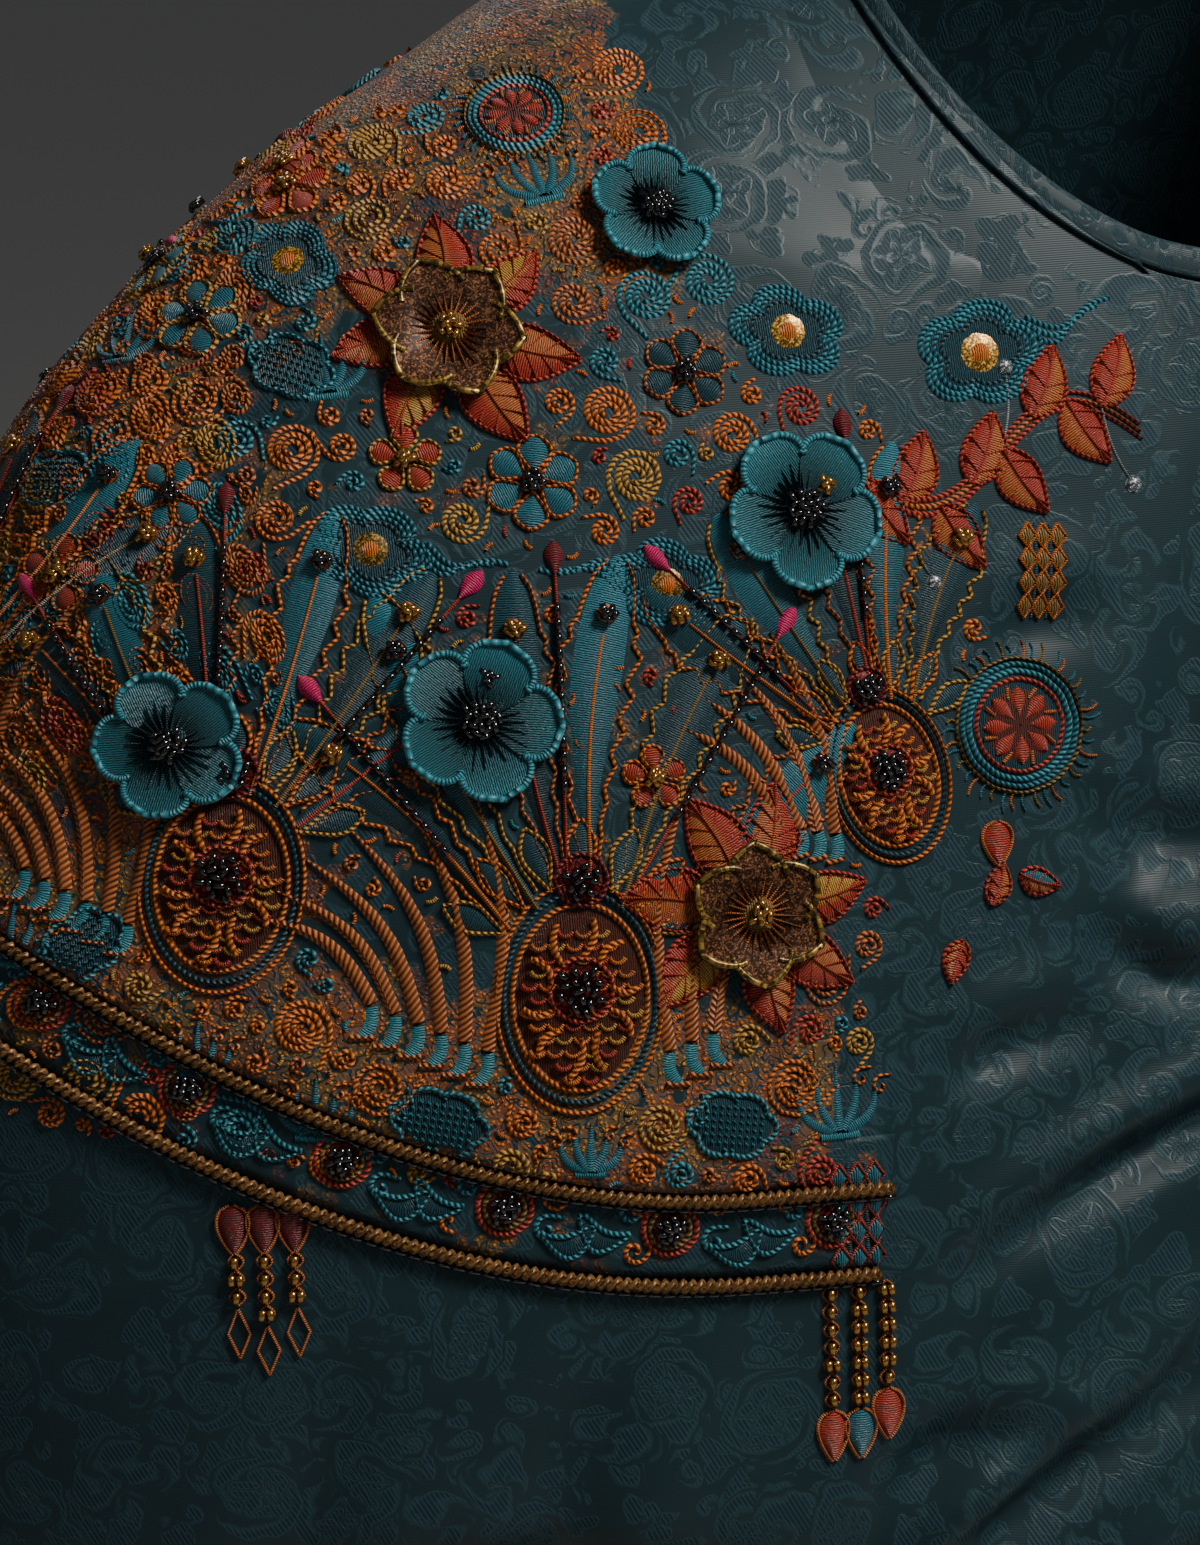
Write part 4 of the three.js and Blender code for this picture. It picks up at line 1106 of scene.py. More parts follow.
def seeded_cloud(p, x, y, turn, size):
    """Small cloud with a dotted filling and a scroll at one end."""
    spot = Spot(x, y, turn, size)
    p.patch("satin", spot(*lobed(6, 7.4, 0.22, 54, 0.72)), DEEP, 0.15, 0.3, 3)
    p.ribbon("chain", spot(*lobed(6, 7.5, 0.22, 54, 0.72)), 0.5, SEA, 0.25, 0.6)
    for gx in np.arange(-6, 6.1, 1.15):
        for gy in np.arange(-4, 4.1, 1.15):
            if (gx / 6.2) ** 2 + (gy / 4.3) ** 2 < 0.9:
                p.ribbon("satin", spot([gx - 0.2, gx + 0.35], [gy - 0.15, gy + 0.2]), 0.26, SEA,
                         0.45, 0.4)
    curl(p, Spot(*spot(6.6, 1.2), turn + 150, size), 2.4, SEA, 0.45, 1.1)


def spray(p, x, y, turn, size):
    """Fountain of five scrolls over a bar."""
    spot = Spot(x, y, turn, size)
    for k in (-2, -1, 0, 1, 2):
        sx, sy = bow(0.6 * k, 0, 3.0 * k, 9.5 - 1.4 * abs(k), -0.9 * k, 12)
        p.ribbon("satin", spot(sx, sy), 0.8 * (1 - np.linspace(0, 1, 12) ** 2) + 0.2, TEAL, 0.2, 0.5)
        if k:
            curl(p, Spot(*spot(sx[-1] + 0.9 * np.sign(k), sy[-1] - 0.9), turn + 90, size), 1.5,
                 ORANGE, 0.35, 0.9, int(np.sign(k)))
    p.ribbon("satin", spot(*bow(-3, -0.8, 3, -0.8, 0, 5)), 0.7, SEA, 0.25, 0.5)


def roundel(p, x, y, size=1.0):
    """Rosette of eight petals in a ring with a fringed rim."""
    spot = Spot(x, y, 0, size)
    p.patch("satin", spot(*lobed(12, 9.3, 0.03, 60)), DEEP, 0.1, 0.3, 3)
    p.patch("satin", spot(*lobed(12, 6.8, 0.02, 48)), (.08, .02, .015), 0.3, 0.4, 3)
    for k in range(8):
        petal = Spot(x, y, 45 * k, size)
        p.ribbon("satin", petal(*bow(0, 1.2, 0, 5.9, 0, 8)), 1.45 * lens(8, 0.6) * size, BRICK,
                 0.6, 0.5, 5)
        p.ribbon("satin", petal(*bow(1.6, 4.0, 1.6, 6.0, 0, 4)), 0.36, COPPER, 0.7, 0.3)
    for reach_out, colour, half in ((7.0, BRICK, 0.5), (8.2, SEA, 0.6), (9.3, TEAL, 0.55),
                                    (10.2, OLIVE, 0.3)):
        p.ribbon("chain", spot(*lobed(12, reach_out, 0.02, 60)), half, colour, 0.3, 0.6)
    for k in range(40):
        spike = Spot(x, y, 9 * k + rng.uniform(-2, 2), size)
        p.ribbon("satin", spike(*bow(0, 10.4, 0.4, rng.uniform(11.6, 13.6), 0.4, 4)), 0.28,
                 (TEAL, COPPER, TEAL, OLIVE)[k % 4], 0.2, 0.35)


def drop(p, x, y, colour, length=8.5, turn=0.0, rim=COPPER):
    """Drop with its point down: satin with a stitched rim."""
    spot = Spot(x, y, turn)
    half = 2.7 * lens(13, 0.36, 0.8)
    dx, dy = bow(0, 0, 0, -length, 0, 13)
    p.ribbon("satin", spot(dx, dy), half, colour, 0.3, 0.9, 5)
    rims(p, "satin", spot, dx, dy, half + 0.25, 0.34, rim, 0.45, 0.4)


def bead_string(p, x, y, length, colour, first=True):
    """String of gold beads with a drop at its head or its foot and an open loop below."""
    at = y
    if first:
        drop(p, x, at - 1.5, colour, 9.0)
        at -= 12.0
    while at > y - length:
        pair = rng.random() < 0.4
        for off in ((-0.75, 0.75) if pair else (0.0,)):
            p.bead("gold", x + off, at, math.pi / 2 + rng.uniform(-.2, .2), 1.7, 0.72, 1.0)
        sway = rng.uniform(-.3, .3)
        for side in (-1, 1):
            link = bow(x, at + 1.6, x + sway, at - 1.6, side * 1.35, 8)
            p.ribbon("satin", np.stack(link, -1), 0.24, COPPER, 0.3, 0.35)
        at -= 3.3
        x += sway * 0.3
    if first:
        for side in (-1, 1):
            p.ribbon("satin", np.stack([[x, x + side * 2.0, x], [at + 1, at - 3.6, at - 8.2]], -1),
                     0.3, COPPER, 0.3, 0.35)
    else:
        drop(p, x, at + 1.2, colour, 9.5)


def lattice(p, x, y, turn=0.0, size=1.0, fill=TEAL, rim=BRICK):
    """Open trellis of three by four lozenges with a stitched edge."""
    spot = Spot(x, y, turn, size)
    for row in range(4):
        for side in (-1, 0, 1):
            cx, cy = side * 3.4, -row * 5.0 - 2.5
            a = np.linspace(0, 2 * math.pi, 5) + math.pi / 2
            lozenge = spot(cx + 1.9 * np.cos(a), cy + 2.7 * np.sin(a))
            p.patch("satin", lozenge, fill, 0.3, 0.5, 2)
            p.ribbon("satin", lozenge, 0.34, rim, 0.5, 0.4)
    for side in (-1.7, 1.7):
        p.ribbon("satin", spot(*bow(side, 0, side, -20, 0, 12)), 0.5, DEEP, 0.25, 0.4)


def vine(p, x, y, turn, size):
    """Flowering vine in brick chain stitch with paired leaves and seed heads."""
    spot = Spot(x, y, turn, size)
    s = np.linspace(0, 1, 44)
    vx, vy = 34 * s, 5.2 * np.sin(6.0 * s) + 3 * s
    for off, colour in ((-0.8, BRICK), (0.8, BRICK), (0.0, COPPER)):
        p.ribbon("chain", spot(vx, vy + off), 0.75 * (1 - 0.6 * s), colour, 0.25, 0.7)
    for k, i in enumerate(range(3, 43, 5)):
        side = (-1) ** k
        leaf(p, Spot(*spot(vx[i], vy[i]), turn - 90 + side * 62, size), 8.0, BRICK, COPPER, BRICK, 3)
        if k % 3 == 1:
            tip = spot(vx[i] + 2, vy[i] - side * 8.5)
            p.ribbon("satin", np.stack(bow(*spot(vx[i], vy[i]), *tip, 1.0, 8), -1), 0.26, SILVER,
                     0.2, 0.3)
            disc(p, Spot(*tip), 7, 1.7, 0.1, 18, SILVER, 0.4, 0.7)


def bloom(p, x, y, size, colour, rim, turn=0.0, petals=6):
    """Flat flower: satin petals with a stitched rim and a beaded middle."""
    for k in range(petals):
        petal = Spot(x, y, turn + 360 * k / petals, size)
        half = 2.5 * lens(11, 0.62, 0.7)
        bx, by = bow(0, 1.4, 0, 7.2, 0, 11)
        p.ribbon("satin", petal(bx, by), half * size, colour, 0.25, 0.5, 5)
        rims(p, "chain", petal, bx, by, half, 0.36, rim, 0.4, 0.5)
    cluster(p, Spot(x, y, 0, size), "gold" if petals % 2 else "black", 1.7, 7, 1.2)


def leaf_ring(p, x, y, count, start, length):
    """Leaves pointing outwards under a flower."""
    for k in range(count):
        spot = Spot(x, y, start + 360 * k / count + rng.uniform(-9, 9))
        root = spot(0, 6.5)
        leaf(p, Spot(root[0], root[1], math.degrees(spot.turn)), length * rng.uniform(.85, 1.1),
             (COPPER, GOLD, COPPER)[k % 3], BRICK, BRICK)


print("motifs ready")

# %% [markdown]
# ## The design
# Large palmettes stand above the hem with flowers over their plumes. Small scrolls, seeds and
# leaves fill what is left, and the edge of the work breaks up into curls.

# %% Lay out the design
BLOSSOMS = [(False, 1, 120.3, 312.9, 10, 10, "silk"), (False, 2, 101.7, 255.7, 12.5, 40, "silk"),
            (False, 3, 161.0, 293.2, 11.5, -15, "bronze"), (False, 4, 164.0, 222.2, 12.5, 25, "silk"),
            (False, 5, 117.2, 184.4, 11, 0, "bronze"), (False, 6, 217.7, 221.6, 11.5, 55, "silk"),
            (True, 7, 149.8, 317.6, 11.5, 20, "silk"), (True, 8, 150.0, 234.9, 12, -10, "bronze"),
            (True, 9, 218.4, 231.9, 12, 35, "silk")]
palmette(fronts, 150, 172, 4, 1.35, 6, 88, 48, (3, 6))
palmette(fronts, 90, 207, -10, 1.05, 5, 72, 44, (0, 4))
palmette(fronts, 211, 196, 10, 1.3, 6, 88, 44, (0, 6))
palmette(fronts, 266, 234, 22, 1.2, 5, 84, 42, (2, 5))
leaf_ring(fronts, 117.2, 184.4, 7, 20, 17.5)
leaf_ring(fronts, 161, 293.2, 7, 0, 17.5)
for x, y, turn, size in ((124, 147, 10, 1.1), (176, 151, 14, 1.15), (236, 186, -30, 1.1),
                         (190, 290, 30, 1.1), (236, 276, 20, 1.1)):
    seeded_cloud(fronts, x, y, turn, size)
for x, y, size, colour, rim, turn, petals in (
        (150, 264, 1.2, TEAL, ORANGE, 10, 6), (206, 304, 1.2, TEAL, GOLD, 0, 6),
        (236, 256, 1.1, BRICK, ORANGE, 20, 5), (120, 282, 1.1, DEEP, COPPER, 12, 6),
        (172, 270, 0.9, BRICK, GOLD, 5, 5), (214, 268, 1.0, TEAL, ORANGE, 30, 6),
        (134, 210, 0.8, BRICK, ORANGE, 0, 5), (186, 330, 1.1, BRICK, ORANGE, 9, 5)):
    bloom(fronts, x, y, size, colour, rim, turn, petals)
    bloom(backs, x + 4, y + 14, size, colour, rim, turn, petals)
cloud(fronts, 64, 282, 172, 1.15)
cloud(fronts, 128, 244, 20, 0.95, OLIVE)
cloud(fronts, 180, 254, 200, 1.0, OLIVE)
cloud(fronts, 100, 288, 15, 1.0, GOLD, False)
cloud(fronts, 188, 312, 60, 1.0, GOLD)
for x, y, turn, size in ((104, 144, 0, 1.25), (150, 141, 4, 0.9), (198, 150, 6, 1.1),
                         (218, 162, 8, 1.0), (250, 184, 12, 1.2), (184, 284, 0, 1.2),
                         (140, 318, -8, 1.2), (222, 300, 14, 1.2)):
    spray(fronts, x, y, turn, size)
for x, y, size, turns, colour in ((112, 153, 5.8, 3.1, ORANGE), (137, 148, 4.8, 2.6, GOLD),
                                  (186, 158, 5.4, 2.9, ORANGE), (234, 173, 5.6, 3.0, COPPER),
                                  (105, 171, 4.6, 2.4, COPPER), (254, 196, 5.2, 2.6, ORANGE),
                                  (208, 286, 5.4, 2.8, ORANGE), (172, 318, 5.4, 2.8, GOLD),
                                  (224, 282, 5.0, 2.6, COPPER), (150, 308, 4.4, 2.2, ORANGE)):
    curl(fronts, Spot(x, y, 40 * size), size, colour, 0.5, turns)
    curl(backs, Spot(x + 6, y + 12, 70 * size), size, colour, 0.5, turns, -1)
roundel(fronts, 64, 214, 1.2)
roundel(fronts, 142, 336, 0.9)
vine(fronts, 94, 264, 176, 1.75)
lattice(fronts, 56, 250, 6, 0.85, OLIVE, ORANGE)
drop(fronts, 70, 197, BRICK, 8.0)
for x, y, turn, colour in ((72, 182, 20, BRICK), (78, 176, 200, BRICK), (66, 187, 110, TEAL)):
    leaf(fronts, Spot(x, y, turn), 8.0, colour, COPPER, BRICK, 3)
palmette(backs, 148, 188, -4, 1.3, 6, 90, 46, (4, 4))
palmette(backs, 214, 200, 12, 1.25, 6, 90, 44, (4, 4))
palmette(backs, 100, 238, -8, 0.95, 5, 84, 42, (3, 3))
palmette(backs, 176, 280, 6, 1.0, 6, 92, 38, (3, 3))
leaf_ring(backs, 150, 234.9, 6, 10, 15)
for x, y, turn, size in ((120, 168, 12, 1.15), (182, 174, -18, 1.15), (240, 226, 20, 1.1)):
    seeded_cloud(backs, x, y, turn, size)
cloud(backs, 62, 286, 172, 1.1)
cloud(backs, 128, 306, 15, 1.0, OLIVE)
for x, y, turn in ((128, 150, 0), (172, 154, 4), (204, 164, 6), (236, 186, 12)):
    spray(backs, x, y, turn, 1.15)

FILLING = ((5.4, 3000), (4.2, 6000), (3.0, 12000), (2.1, 16000), (1.4, 16000), (0.8, 12000))
FILL_COLOURS = (ORANGE, ORANGE, GOLD, COPPER, ORANGE, BRICK, ORANGE, SEA)
HEM_U, HEM_W = (90, 150, 200, 250, 300), (131, 135, 141, 152, 164)
for p in (fronts, backs):
    for which, _, x, y, radius, _, _ in BLOSSOMS:
        if which == p.back:
            i, j, n = int(x / CELL), int(y / CELL), int(radius * 0.8 / CELL)
            p.taken[i - n:i + n, j - n:j + n] = True
    added = 0
    for size, tries in FILLING:
        for _ in range(tries):
            x, y = rng.uniform(62, 300), rng.uniform(128, 345)
            thick = float(density(np.array([x]), np.array([y]), True)[0])
            hem = np.interp(x, HEM_U, HEM_W)
            if y < hem + 2 + size * 0.6 or thick < 0.1 or rng.random() > thick + 0.15:
                continue
            if not p.free(x, y, size * 0.82 + 0.2):
                continue
            colour = FILL_COLOURS[rng.integers(len(FILL_COLOURS))]
            spot = Spot(x, y, rng.uniform(0, 360))
            if size < 1:
                p.ribbon("satin", spot(*bow(-1.0, 0, 1.0, 0, 0.4, 4)), 0.4, colour, 0.2, 0.4)
            else:
                curl(p, spot, size, colour, 0.42 + 0.05 * size, 0.7 + 0.42 * size, rng.choice([-1, 1]))
            added += 1
    print("fillings", added)


def hem_band(row, side):
    """Flat points every millimetre along a hem row, from the front edge of the cap outwards."""
    points = on_form(row, np.linspace(CAP_COLUMN, 90, 200), side)
    u, v = flat_of(points[:, 0], points[:, 2], side)
    run = np.concatenate([[0], np.cumsum(np.hypot(np.diff(u), np.diff(v)))])
    s = np.arange(0, run[-1], 1.0)
    return np.stack([np.interp(s, run, u), np.interp(s, run, v)], -1)


def band_spot(band, s, off, turn=0.0):
    """Local axes at s millimetres along a band, off millimetres beside it."""
    i = int(np.clip(s, 1, len(band) - 3))
    along = band[i + 1] - band[i - 1]
    angle = math.atan2(along[1], along[0])
    side = np.array([-math.sin(angle), math.cos(angle)])
    at = band[i] + off * side
    return Spot(at[0], at[1], math.degrees(angle) + turn)


for p in (fronts, backs):
    band = hem_band(4.52, p.back)
    for k, s in enumerate(np.arange(10, len(band) - 4, 15.0)):
        hand = (-1) ** k
        if k % 2 == 0:
            spot = band_spot(band, s, 0)
            disc(p, spot, 9, 3.5, 0.06, 30, CRIMSON, 0.2, 0.4)
            p.ribbon("chain", spot(*lobed(9, 4.9, 0.04, 34)), 0.62, BRICK, 0.2, 0.6)
            p.ribbon("chain", spot(*lobed(9, 3.6, 0.04, 30)), 0.5, OLIVE, 0.4, 0.5)
            cluster(p, spot, "black", 2.5, 11, 1.0)
        else:
            for flip in (-1, 1):
                spot = band_spot(band, s, 0.9 * flip, 90 + 90 * flip)
                bx, by = bow(-1.5, 0, 8.0, 2.2 * flip, 3.0 * flip, 16)
                half = 2.3 * lens(16, 0.35)
                p.ribbon("satin", spot(bx, by), half, DEEP, 0.2, 0.35, 5)
                for side in (-1, 1):
                    p.ribbon("chain", spot(bx, by + side * half), 0.55, SEA, 0.3, 0.6)
                curl(p, band_spot(band, s + 7.5 * flip, -2.4 * flip, 90), 2.6, SEA, 0.6, 1.0, hand)
        for off in (-4.2, 3.8):
            for step, size, turns in ((6.4, 2.6, 1.2), (3.2, 2.0, 1.0), (9.6, 1.7, 0.8)):
                spot = band_spot(band, s + step, off + rng.uniform(-.5, .5), rng.uniform(0, 360))
                if p.free(spot.x, spot.y, 0.9):
                    curl(p, spot, size, ORANGE, 0.55, turns, hand)
    foot = hem_band(LOWER_HEM, p.back)
    for s, first in (((2, False), (112, True)) if not p.back else ((60, True), (4, False))):
        spot = band_spot(foot, s + 2, 3.0 if not first else -1.0)
        x, y = spot.x, spot.y
        if not first:
            lattice(p, x, y + 16)
            y -= 6
        for off, longer in ((-4.6, 0), (0, 4), (4.6, 1)):
            colour = (BRICK, TEAL, BRICK)[int(off / 4.6) + 1] if not first else CRIMSON
            bead_string(p, x + off * 1.15, y - 2, 19 + longer, colour, first)
print({kind: len(rows) for kind, rows in fronts.pieces.items()})

# %% [markdown]
# ## Sewing it on
# Each chart is laid on both hands. The height of the cloth below each point is added along the
# outward direction of the form.

# %% Sew the stitches on
def on_cloth(u, w, back, hand):
    """Point on the uppermost cloth and outward direction there, for the given hand."""
    points, n, on_back = place(u, w, back)
    lift = np.zeros(len(points))
    for side in (False, True):
        here = on_back == side
        if here.any():
            name = "back" if side else ("front_right" if hand < 0 else "front_left")
            fu, fw = flat_of(points[here, 0], points[here, 2], side)
            signed = fu * hand if side else fu
            lift[here] = heights(signed, fw, points[here, 0], points[here, 2], side, name)[2]
    points = points + n * lift[:, None]
    return points * [hand, 1, 1], n * [hand, 1, 1]


def lay_stitches(rows, back, hand, start):
    """Points, flat places, tints and outward quads, numbered from start, of drawn stitches."""
    u, w = (np.concatenate([grid[..., k].ravel() for grid, _, _, _ in rows]) for k in (0, 1))
    laid, n = on_cloth(u, w, back, hand)
    rise = np.concatenate([height.ravel() for _, height, _, _ in rows])
    flats = np.concatenate([uv.reshape(-1, 2) for _, _, uv, _ in rows])
    tints = np.concatenate([colour.reshape(-1, 3) for _, _, _, colour in rows])
    faces = []
    for grid, height, _, _ in rows:
        quads = grid_faces(*grid.shape[:2], start)
        faces.append(quads[:, ::-1] if (hand < 0) == back else quads)
        start += height.size
    return laid + n * rise[:, None], flats, tints, np.concatenate(faces)


def sew(kind, hand, word):
    """All stitches of one kind on one shoulder, front and back, as one mesh."""
    front = lay_stitches(fronts.pieces[kind], False, hand, 0)
    behind = lay_stitches(backs.pieces[kind], True, hand, len(front[0]))
    points, flats, tints, faces = (np.concatenate(pair) for pair in zip(front, behind))
    make_mesh(kind + "_stitches_" + word, points, faces, THREADS[kind], flats, tints)
    print(kind, word, len(faces) * 2, "triangles")


HEX = np.linspace(0, 2 * math.pi, 7)[:-1]
ROD = np.concatenate([np.stack([np.full(6, side), np.cos(HEX), np.sin(HEX)], -1)
                      for side in (-0.5, 0.5)])
ROD_FACES = np.array([[i, (i + 1) % 6, (i + 1) % 6 + 6, i + 6] for i in range(6)]
                     + [[3, 2, 1, 0], [5, 4, 3, 0], [6, 7, 8, 9], [6, 9, 10, 11]])


def rods(name, centres, ways, ups, sizes, material):
    """Six-sided rods: centre, direction, upward direction and (length, radius) of each."""
    ways = unit(ways)
    across = unit(np.cross(ways, ups))
    ups = np.cross(across, ways)
    local = ROD[None] * np.stack([sizes[:, 0], sizes[:, 1], sizes[:, 1]], -1)[:, None]
    points = centres[:, None] + (local[..., :1] * ways[:, None] + local[..., 1:2] * across[:, None]
                                 + local[..., 2:] * ups[:, None])
    faces = ROD_FACES[None] + 12 * np.arange(len(centres))[:, None, None]
    return make_mesh(name, points.reshape(-1, 3), faces.reshape(-1, 4), material, smooth=False)


def beads_on(p, glass, hand):
    """Centre, direction, outward direction and size of a chart's beads on the cloth."""
    u, w, turn, long, radius, rise = np.array(p.beads[glass]).reshape(-1, 6).T
    at, n = on_cloth(u, w, p.back, hand)
    ahead, _ = on_cloth(u + np.cos(turn), w + np.sin(turn), p.back, hand)
    return at + n * rise[:, None], ahead - at, n, np.stack([long, radius], -1)


for hand, word in HANDS:
    for kind in THREADS:
        sew(kind, hand, word)
    for glass in GLASS:
        both = zip(beads_on(fronts, glass, hand), beads_on(backs, glass, hand))
        rods(glass + "_beads_" + word, *(np.concatenate(pair) for pair in both), GLASS[glass])

# %% [markdown]
# ## Raised flowers
# Padded petals with a corded rim stand over the stitches, their colour painted darker towards the
# root as the shade of the cup. Teal flowers have five round petals and black beads, bronze ones six
# pointed petals of glittering thread and gold beads.

# %% Raise the flowers
def cord_edge(p, thread, edge, lift, colour):
    """Round cord of radius 0.62 along an edge at the given heights."""
    side = sideways(edge)
    a = np.linspace(0, 2 * math.pi, 7)
    cord = edge[:, None] + side[:, None] * (0.62 * np.cos(a))[:, None]
    height = lift[:, None] + 0.62 * np.sin(a)
    run = np.arange(len(edge))[:, None] * np.ones(7)
    p.lay(thread, cord, height, np.stack([run, height], -1), colour)


def petal(p, spot, radius, kind, k):
    """Cupped petal, s from root to tip and t across, with a cord along its open edge. Its height is
    0.9 + 2.3 s - 0.6 s^3 + 0.4 t^2 + 0.2 (1 - t^2) sin(pi s) + 0.25 sin(5 s + k)."""
    thread, colour, rim = ("satin", SEA, SEA) if kind == "silk" else ("metal", BRONZE, OLIVE)
    wide, widest, blunt = (0.45, 1.7, 0.55) if kind == "silk" else (0.46, 1.05, 0.7)
    s, t = np.linspace(0, 1, 11), np.linspace(-1, 1, 13)
    half = radius * wide * np.maximum(np.sin(math.pi * (0.08 + 0.92 * s) ** widest), 0) ** blunt
    lx = half[:, None] * t
    ly = radius * (0.1 + 0.98 * s)[:, None] - 0.05 * radius * t**2
    height = (0.9 + 2.3 * s[:, None] - 0.6 * s[:, None] ** 3 + 0.4 * t**2 + 0.2 * (1 - t**2)
              * np.sin(math.pi * s)[:, None] + 0.25 * np.sin(5 * s[:, None] + k))
    # painted shade: the petal colour darkens towards its root, standing in for the shade inside the
    # cup
    tone = (0.16 + 0.84 * s ** 1.4)[:, None, None] * np.ones((11, 13, 1))
    cup_shaded_colour = np.array(colour) * tone * rng.uniform(0.85, 1.1)
    grid = spot(lx, ly)
    p.lay(thread, grid, height, np.stack([lx, ly], -1), cup_shaded_colour)
    edge, lift = (np.concatenate([v[5:, 0], v[-1, 1:-1], v[5:, -1][::-1]]) for v in (grid, height))
    cord_edge(p, thread, edge, lift, np.array(rim) * 1.05)


def flower_heart(p, x, y, radius, kind):
    """Padded middle with 26 rays and a heap of beads."""
    middle = Spot(x, y)
    p.patch("satin", middle(*lobed(10, radius * 0.3, 0.12, 30)), DEEP if kind == "silk" else OLIVE,
            1.6, 1.0, 3)
    for k in range(26):
        ray = Spot(x, y, 360 * k / 26)
        path = ray(*bow(0, radius * 0.2, 0, radius * rng.uniform(0.45, 0.7), 0, 4))
        p.ribbon("satin", path, 0.2, np.array(DEEP) * 0.5 if kind == "silk" else COPPER, 1.9, 0.45)
    if kind == "silk":
        cluster(p, middle, "black", radius * 0.24, 19, 2.6)
    else:
        cluster(p, middle, "gold", radius * 0.17, 8, 3.0)


def flower(number, back, x, y, radius, turn, kind, hand, word):
    """One raised flower: a mesh of petals, cords and rays, and a mesh of beads."""
    p = Pattern(back)
    petals = 5 if kind == "silk" else 6
    for k in range(petals):
        petal(p, Spot(x, y, turn + 360 * k / petals), radius, kind, k)
    flower_heart(p, x, y, radius, kind)
    laid, marks, start = [], [], 0
    for thread, rows in p.pieces.items():
        laid.append(lay_stitches(rows, back, hand, start))
        start += len(laid[-1][0])
        marks.append(np.full(len(laid[-1][3]), thread == "metal"))
    points, flats, tints, faces = (np.concatenate(parts) for parts in zip(*laid))
    name = f"blossom_{word}_{number}"
    piece = make_mesh(name + "_petals", points, faces, satin, flats, tints)
    piece.data.materials.append(metal)
    piece.data.polygons.foreach_set("material_index", np.concatenate(marks).astype(int))
    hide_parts(name)
    glass = "black" if kind == "silk" else "gold"
    rods(name + "_beads", *beads_on(p, glass, hand), GLASS[glass])


GROWTH = 1.12
for hand, word in HANDS:
    for back, number, x, y, radius, turn, kind in BLOSSOMS:
        flower(number, back, x, y, radius * GROWTH, turn, kind, hand, word)
print(2 * len(BLOSSOMS), "flowers")

# %% [markdown]
# ## Ropes along the hems
# Two strands wind round each other with a pitch of 3.4 mm, and a dark line of bugle beads lies
# just under each rope.

# %% Twist the ropes
def rope_line(row, lift, side_off):
    """Centre line over front and back, its outward normals and the way down the cloth."""
    lines = []
    for back in (False, True):
        columns = np.linspace(CAP_COLUMN, 90, 240)
        columns = columns[:-1] if back else columns
        here, below = on_form(row, columns, back), on_form(row - 0.1, columns, back)
        down = unit(below - here)
        n = outward(here[:, 0], here[:, 1], here[:, 2], back)
        line = np.stack([here + down * side_off + n * lift, n, down], 1)
        lines.append(line[::-1] if back else line)
    return np.concatenate(lines)


def even(line, step):
    """The same line with points every step millimetres."""
    run = np.concatenate([[0], np.cumsum(np.linalg.norm(np.diff(line[:, 0], axis=0), axis=1))])
    s = np.arange(0, run[-1], step)
    flat = np.stack([np.interp(s, run, column) for column in line.reshape(len(line), -1).T], -1)
    return flat.reshape(-1, 3, 3), s


rope_thread, shader, w = new_material("gold brown cord", (.16, .085, .032), 0.42, 0.35)
_, tone = w.specks(w.flat(), 2.4)
w.feed(shader.inputs["Base Color"], w.blend(tone[0], (.030, .013, .006, 1), (.34, .17, .05, 1)))
w.relief(shader, tone[0], 0.0006)
PITCH, STRAND, WIND = 3.4, 0.84, 0.66
BUGLE_STEP, BUGLE_LENGTH, BUGLE_RADIUS = 2.75, 2.2, 0.5


def rope(name, row, lift, hand):
    """Two strands of radius STRAND, wound round the centre line at radius WIND."""
    line, s = even(rope_line(row, lift, 1.65), 0.5)
    centre, n = line[:, 0], line[:, 1]
    along = unit(np.gradient(centre, axis=0))
    across = np.cross(along, n)
    a = np.linspace(0, 2 * math.pi, 7)[:, None]
    points, faces, uv = [], [], []
    for strand in range(2):
        wind = 2 * math.pi * s / PITCH + math.pi * strand
        core = centre + WIND * (np.cos(wind)[:, None] * n + np.sin(wind)[:, None] * across)
        ring = core[:, None] + STRAND * (np.cos(a) * n[:, None] + np.sin(a) * across[:, None])
        faces.append(grid_faces(len(s), 7, strand * len(s) * 7))
        points.append(ring.reshape(-1, 3))
        uv.append(np.stack(np.broadcast_arrays(s[:, None], a.T * 0.8), -1).reshape(-1, 2))
    quads = np.concatenate(faces)
    piece = make_mesh(name + "_cord", np.concatenate(points) * [hand, 1, 1],
                      quads if hand < 0 else quads[:, ::-1], rope_thread, np.concatenate(uv))
    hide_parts(name)


def bugles(name, row, lift, hand):
    """Short black rods end to end just under the rope, each a little askew."""
    beads, _ = even(rope_line(row, lift - 1.0, 3.6), BUGLE_STEP)
    beads = beads * [hand, 1, 1]
    ways = np.gradient(beads[:, 0], axis=0) + rng.normal(0, 0.12, (len(beads), 3))
    sizes = np.tile([BUGLE_LENGTH, BUGLE_RADIUS], (len(beads), 1))
    rods(name + "_bugles", beads[:, 0], ways, beads[:, 1], sizes, black_glass)
    return len(beads)


for hand, word in HANDS:
    for node, row, lift in (("cap_piping_", CAP_HEM, 3.2), ("tier_piping_", LOWER_HEM, 1.65)):
        rope(node + word, row, lift, hand)
        print(node + word, "with", bugles(node + word, row, lift, hand), "bugle beads")

# %% [markdown]
# ## Neck band and buttons
# A narrow rounded band follows the neckline from the left front round the back to the lapped right
# front. Five covered buttons sit on the lap.

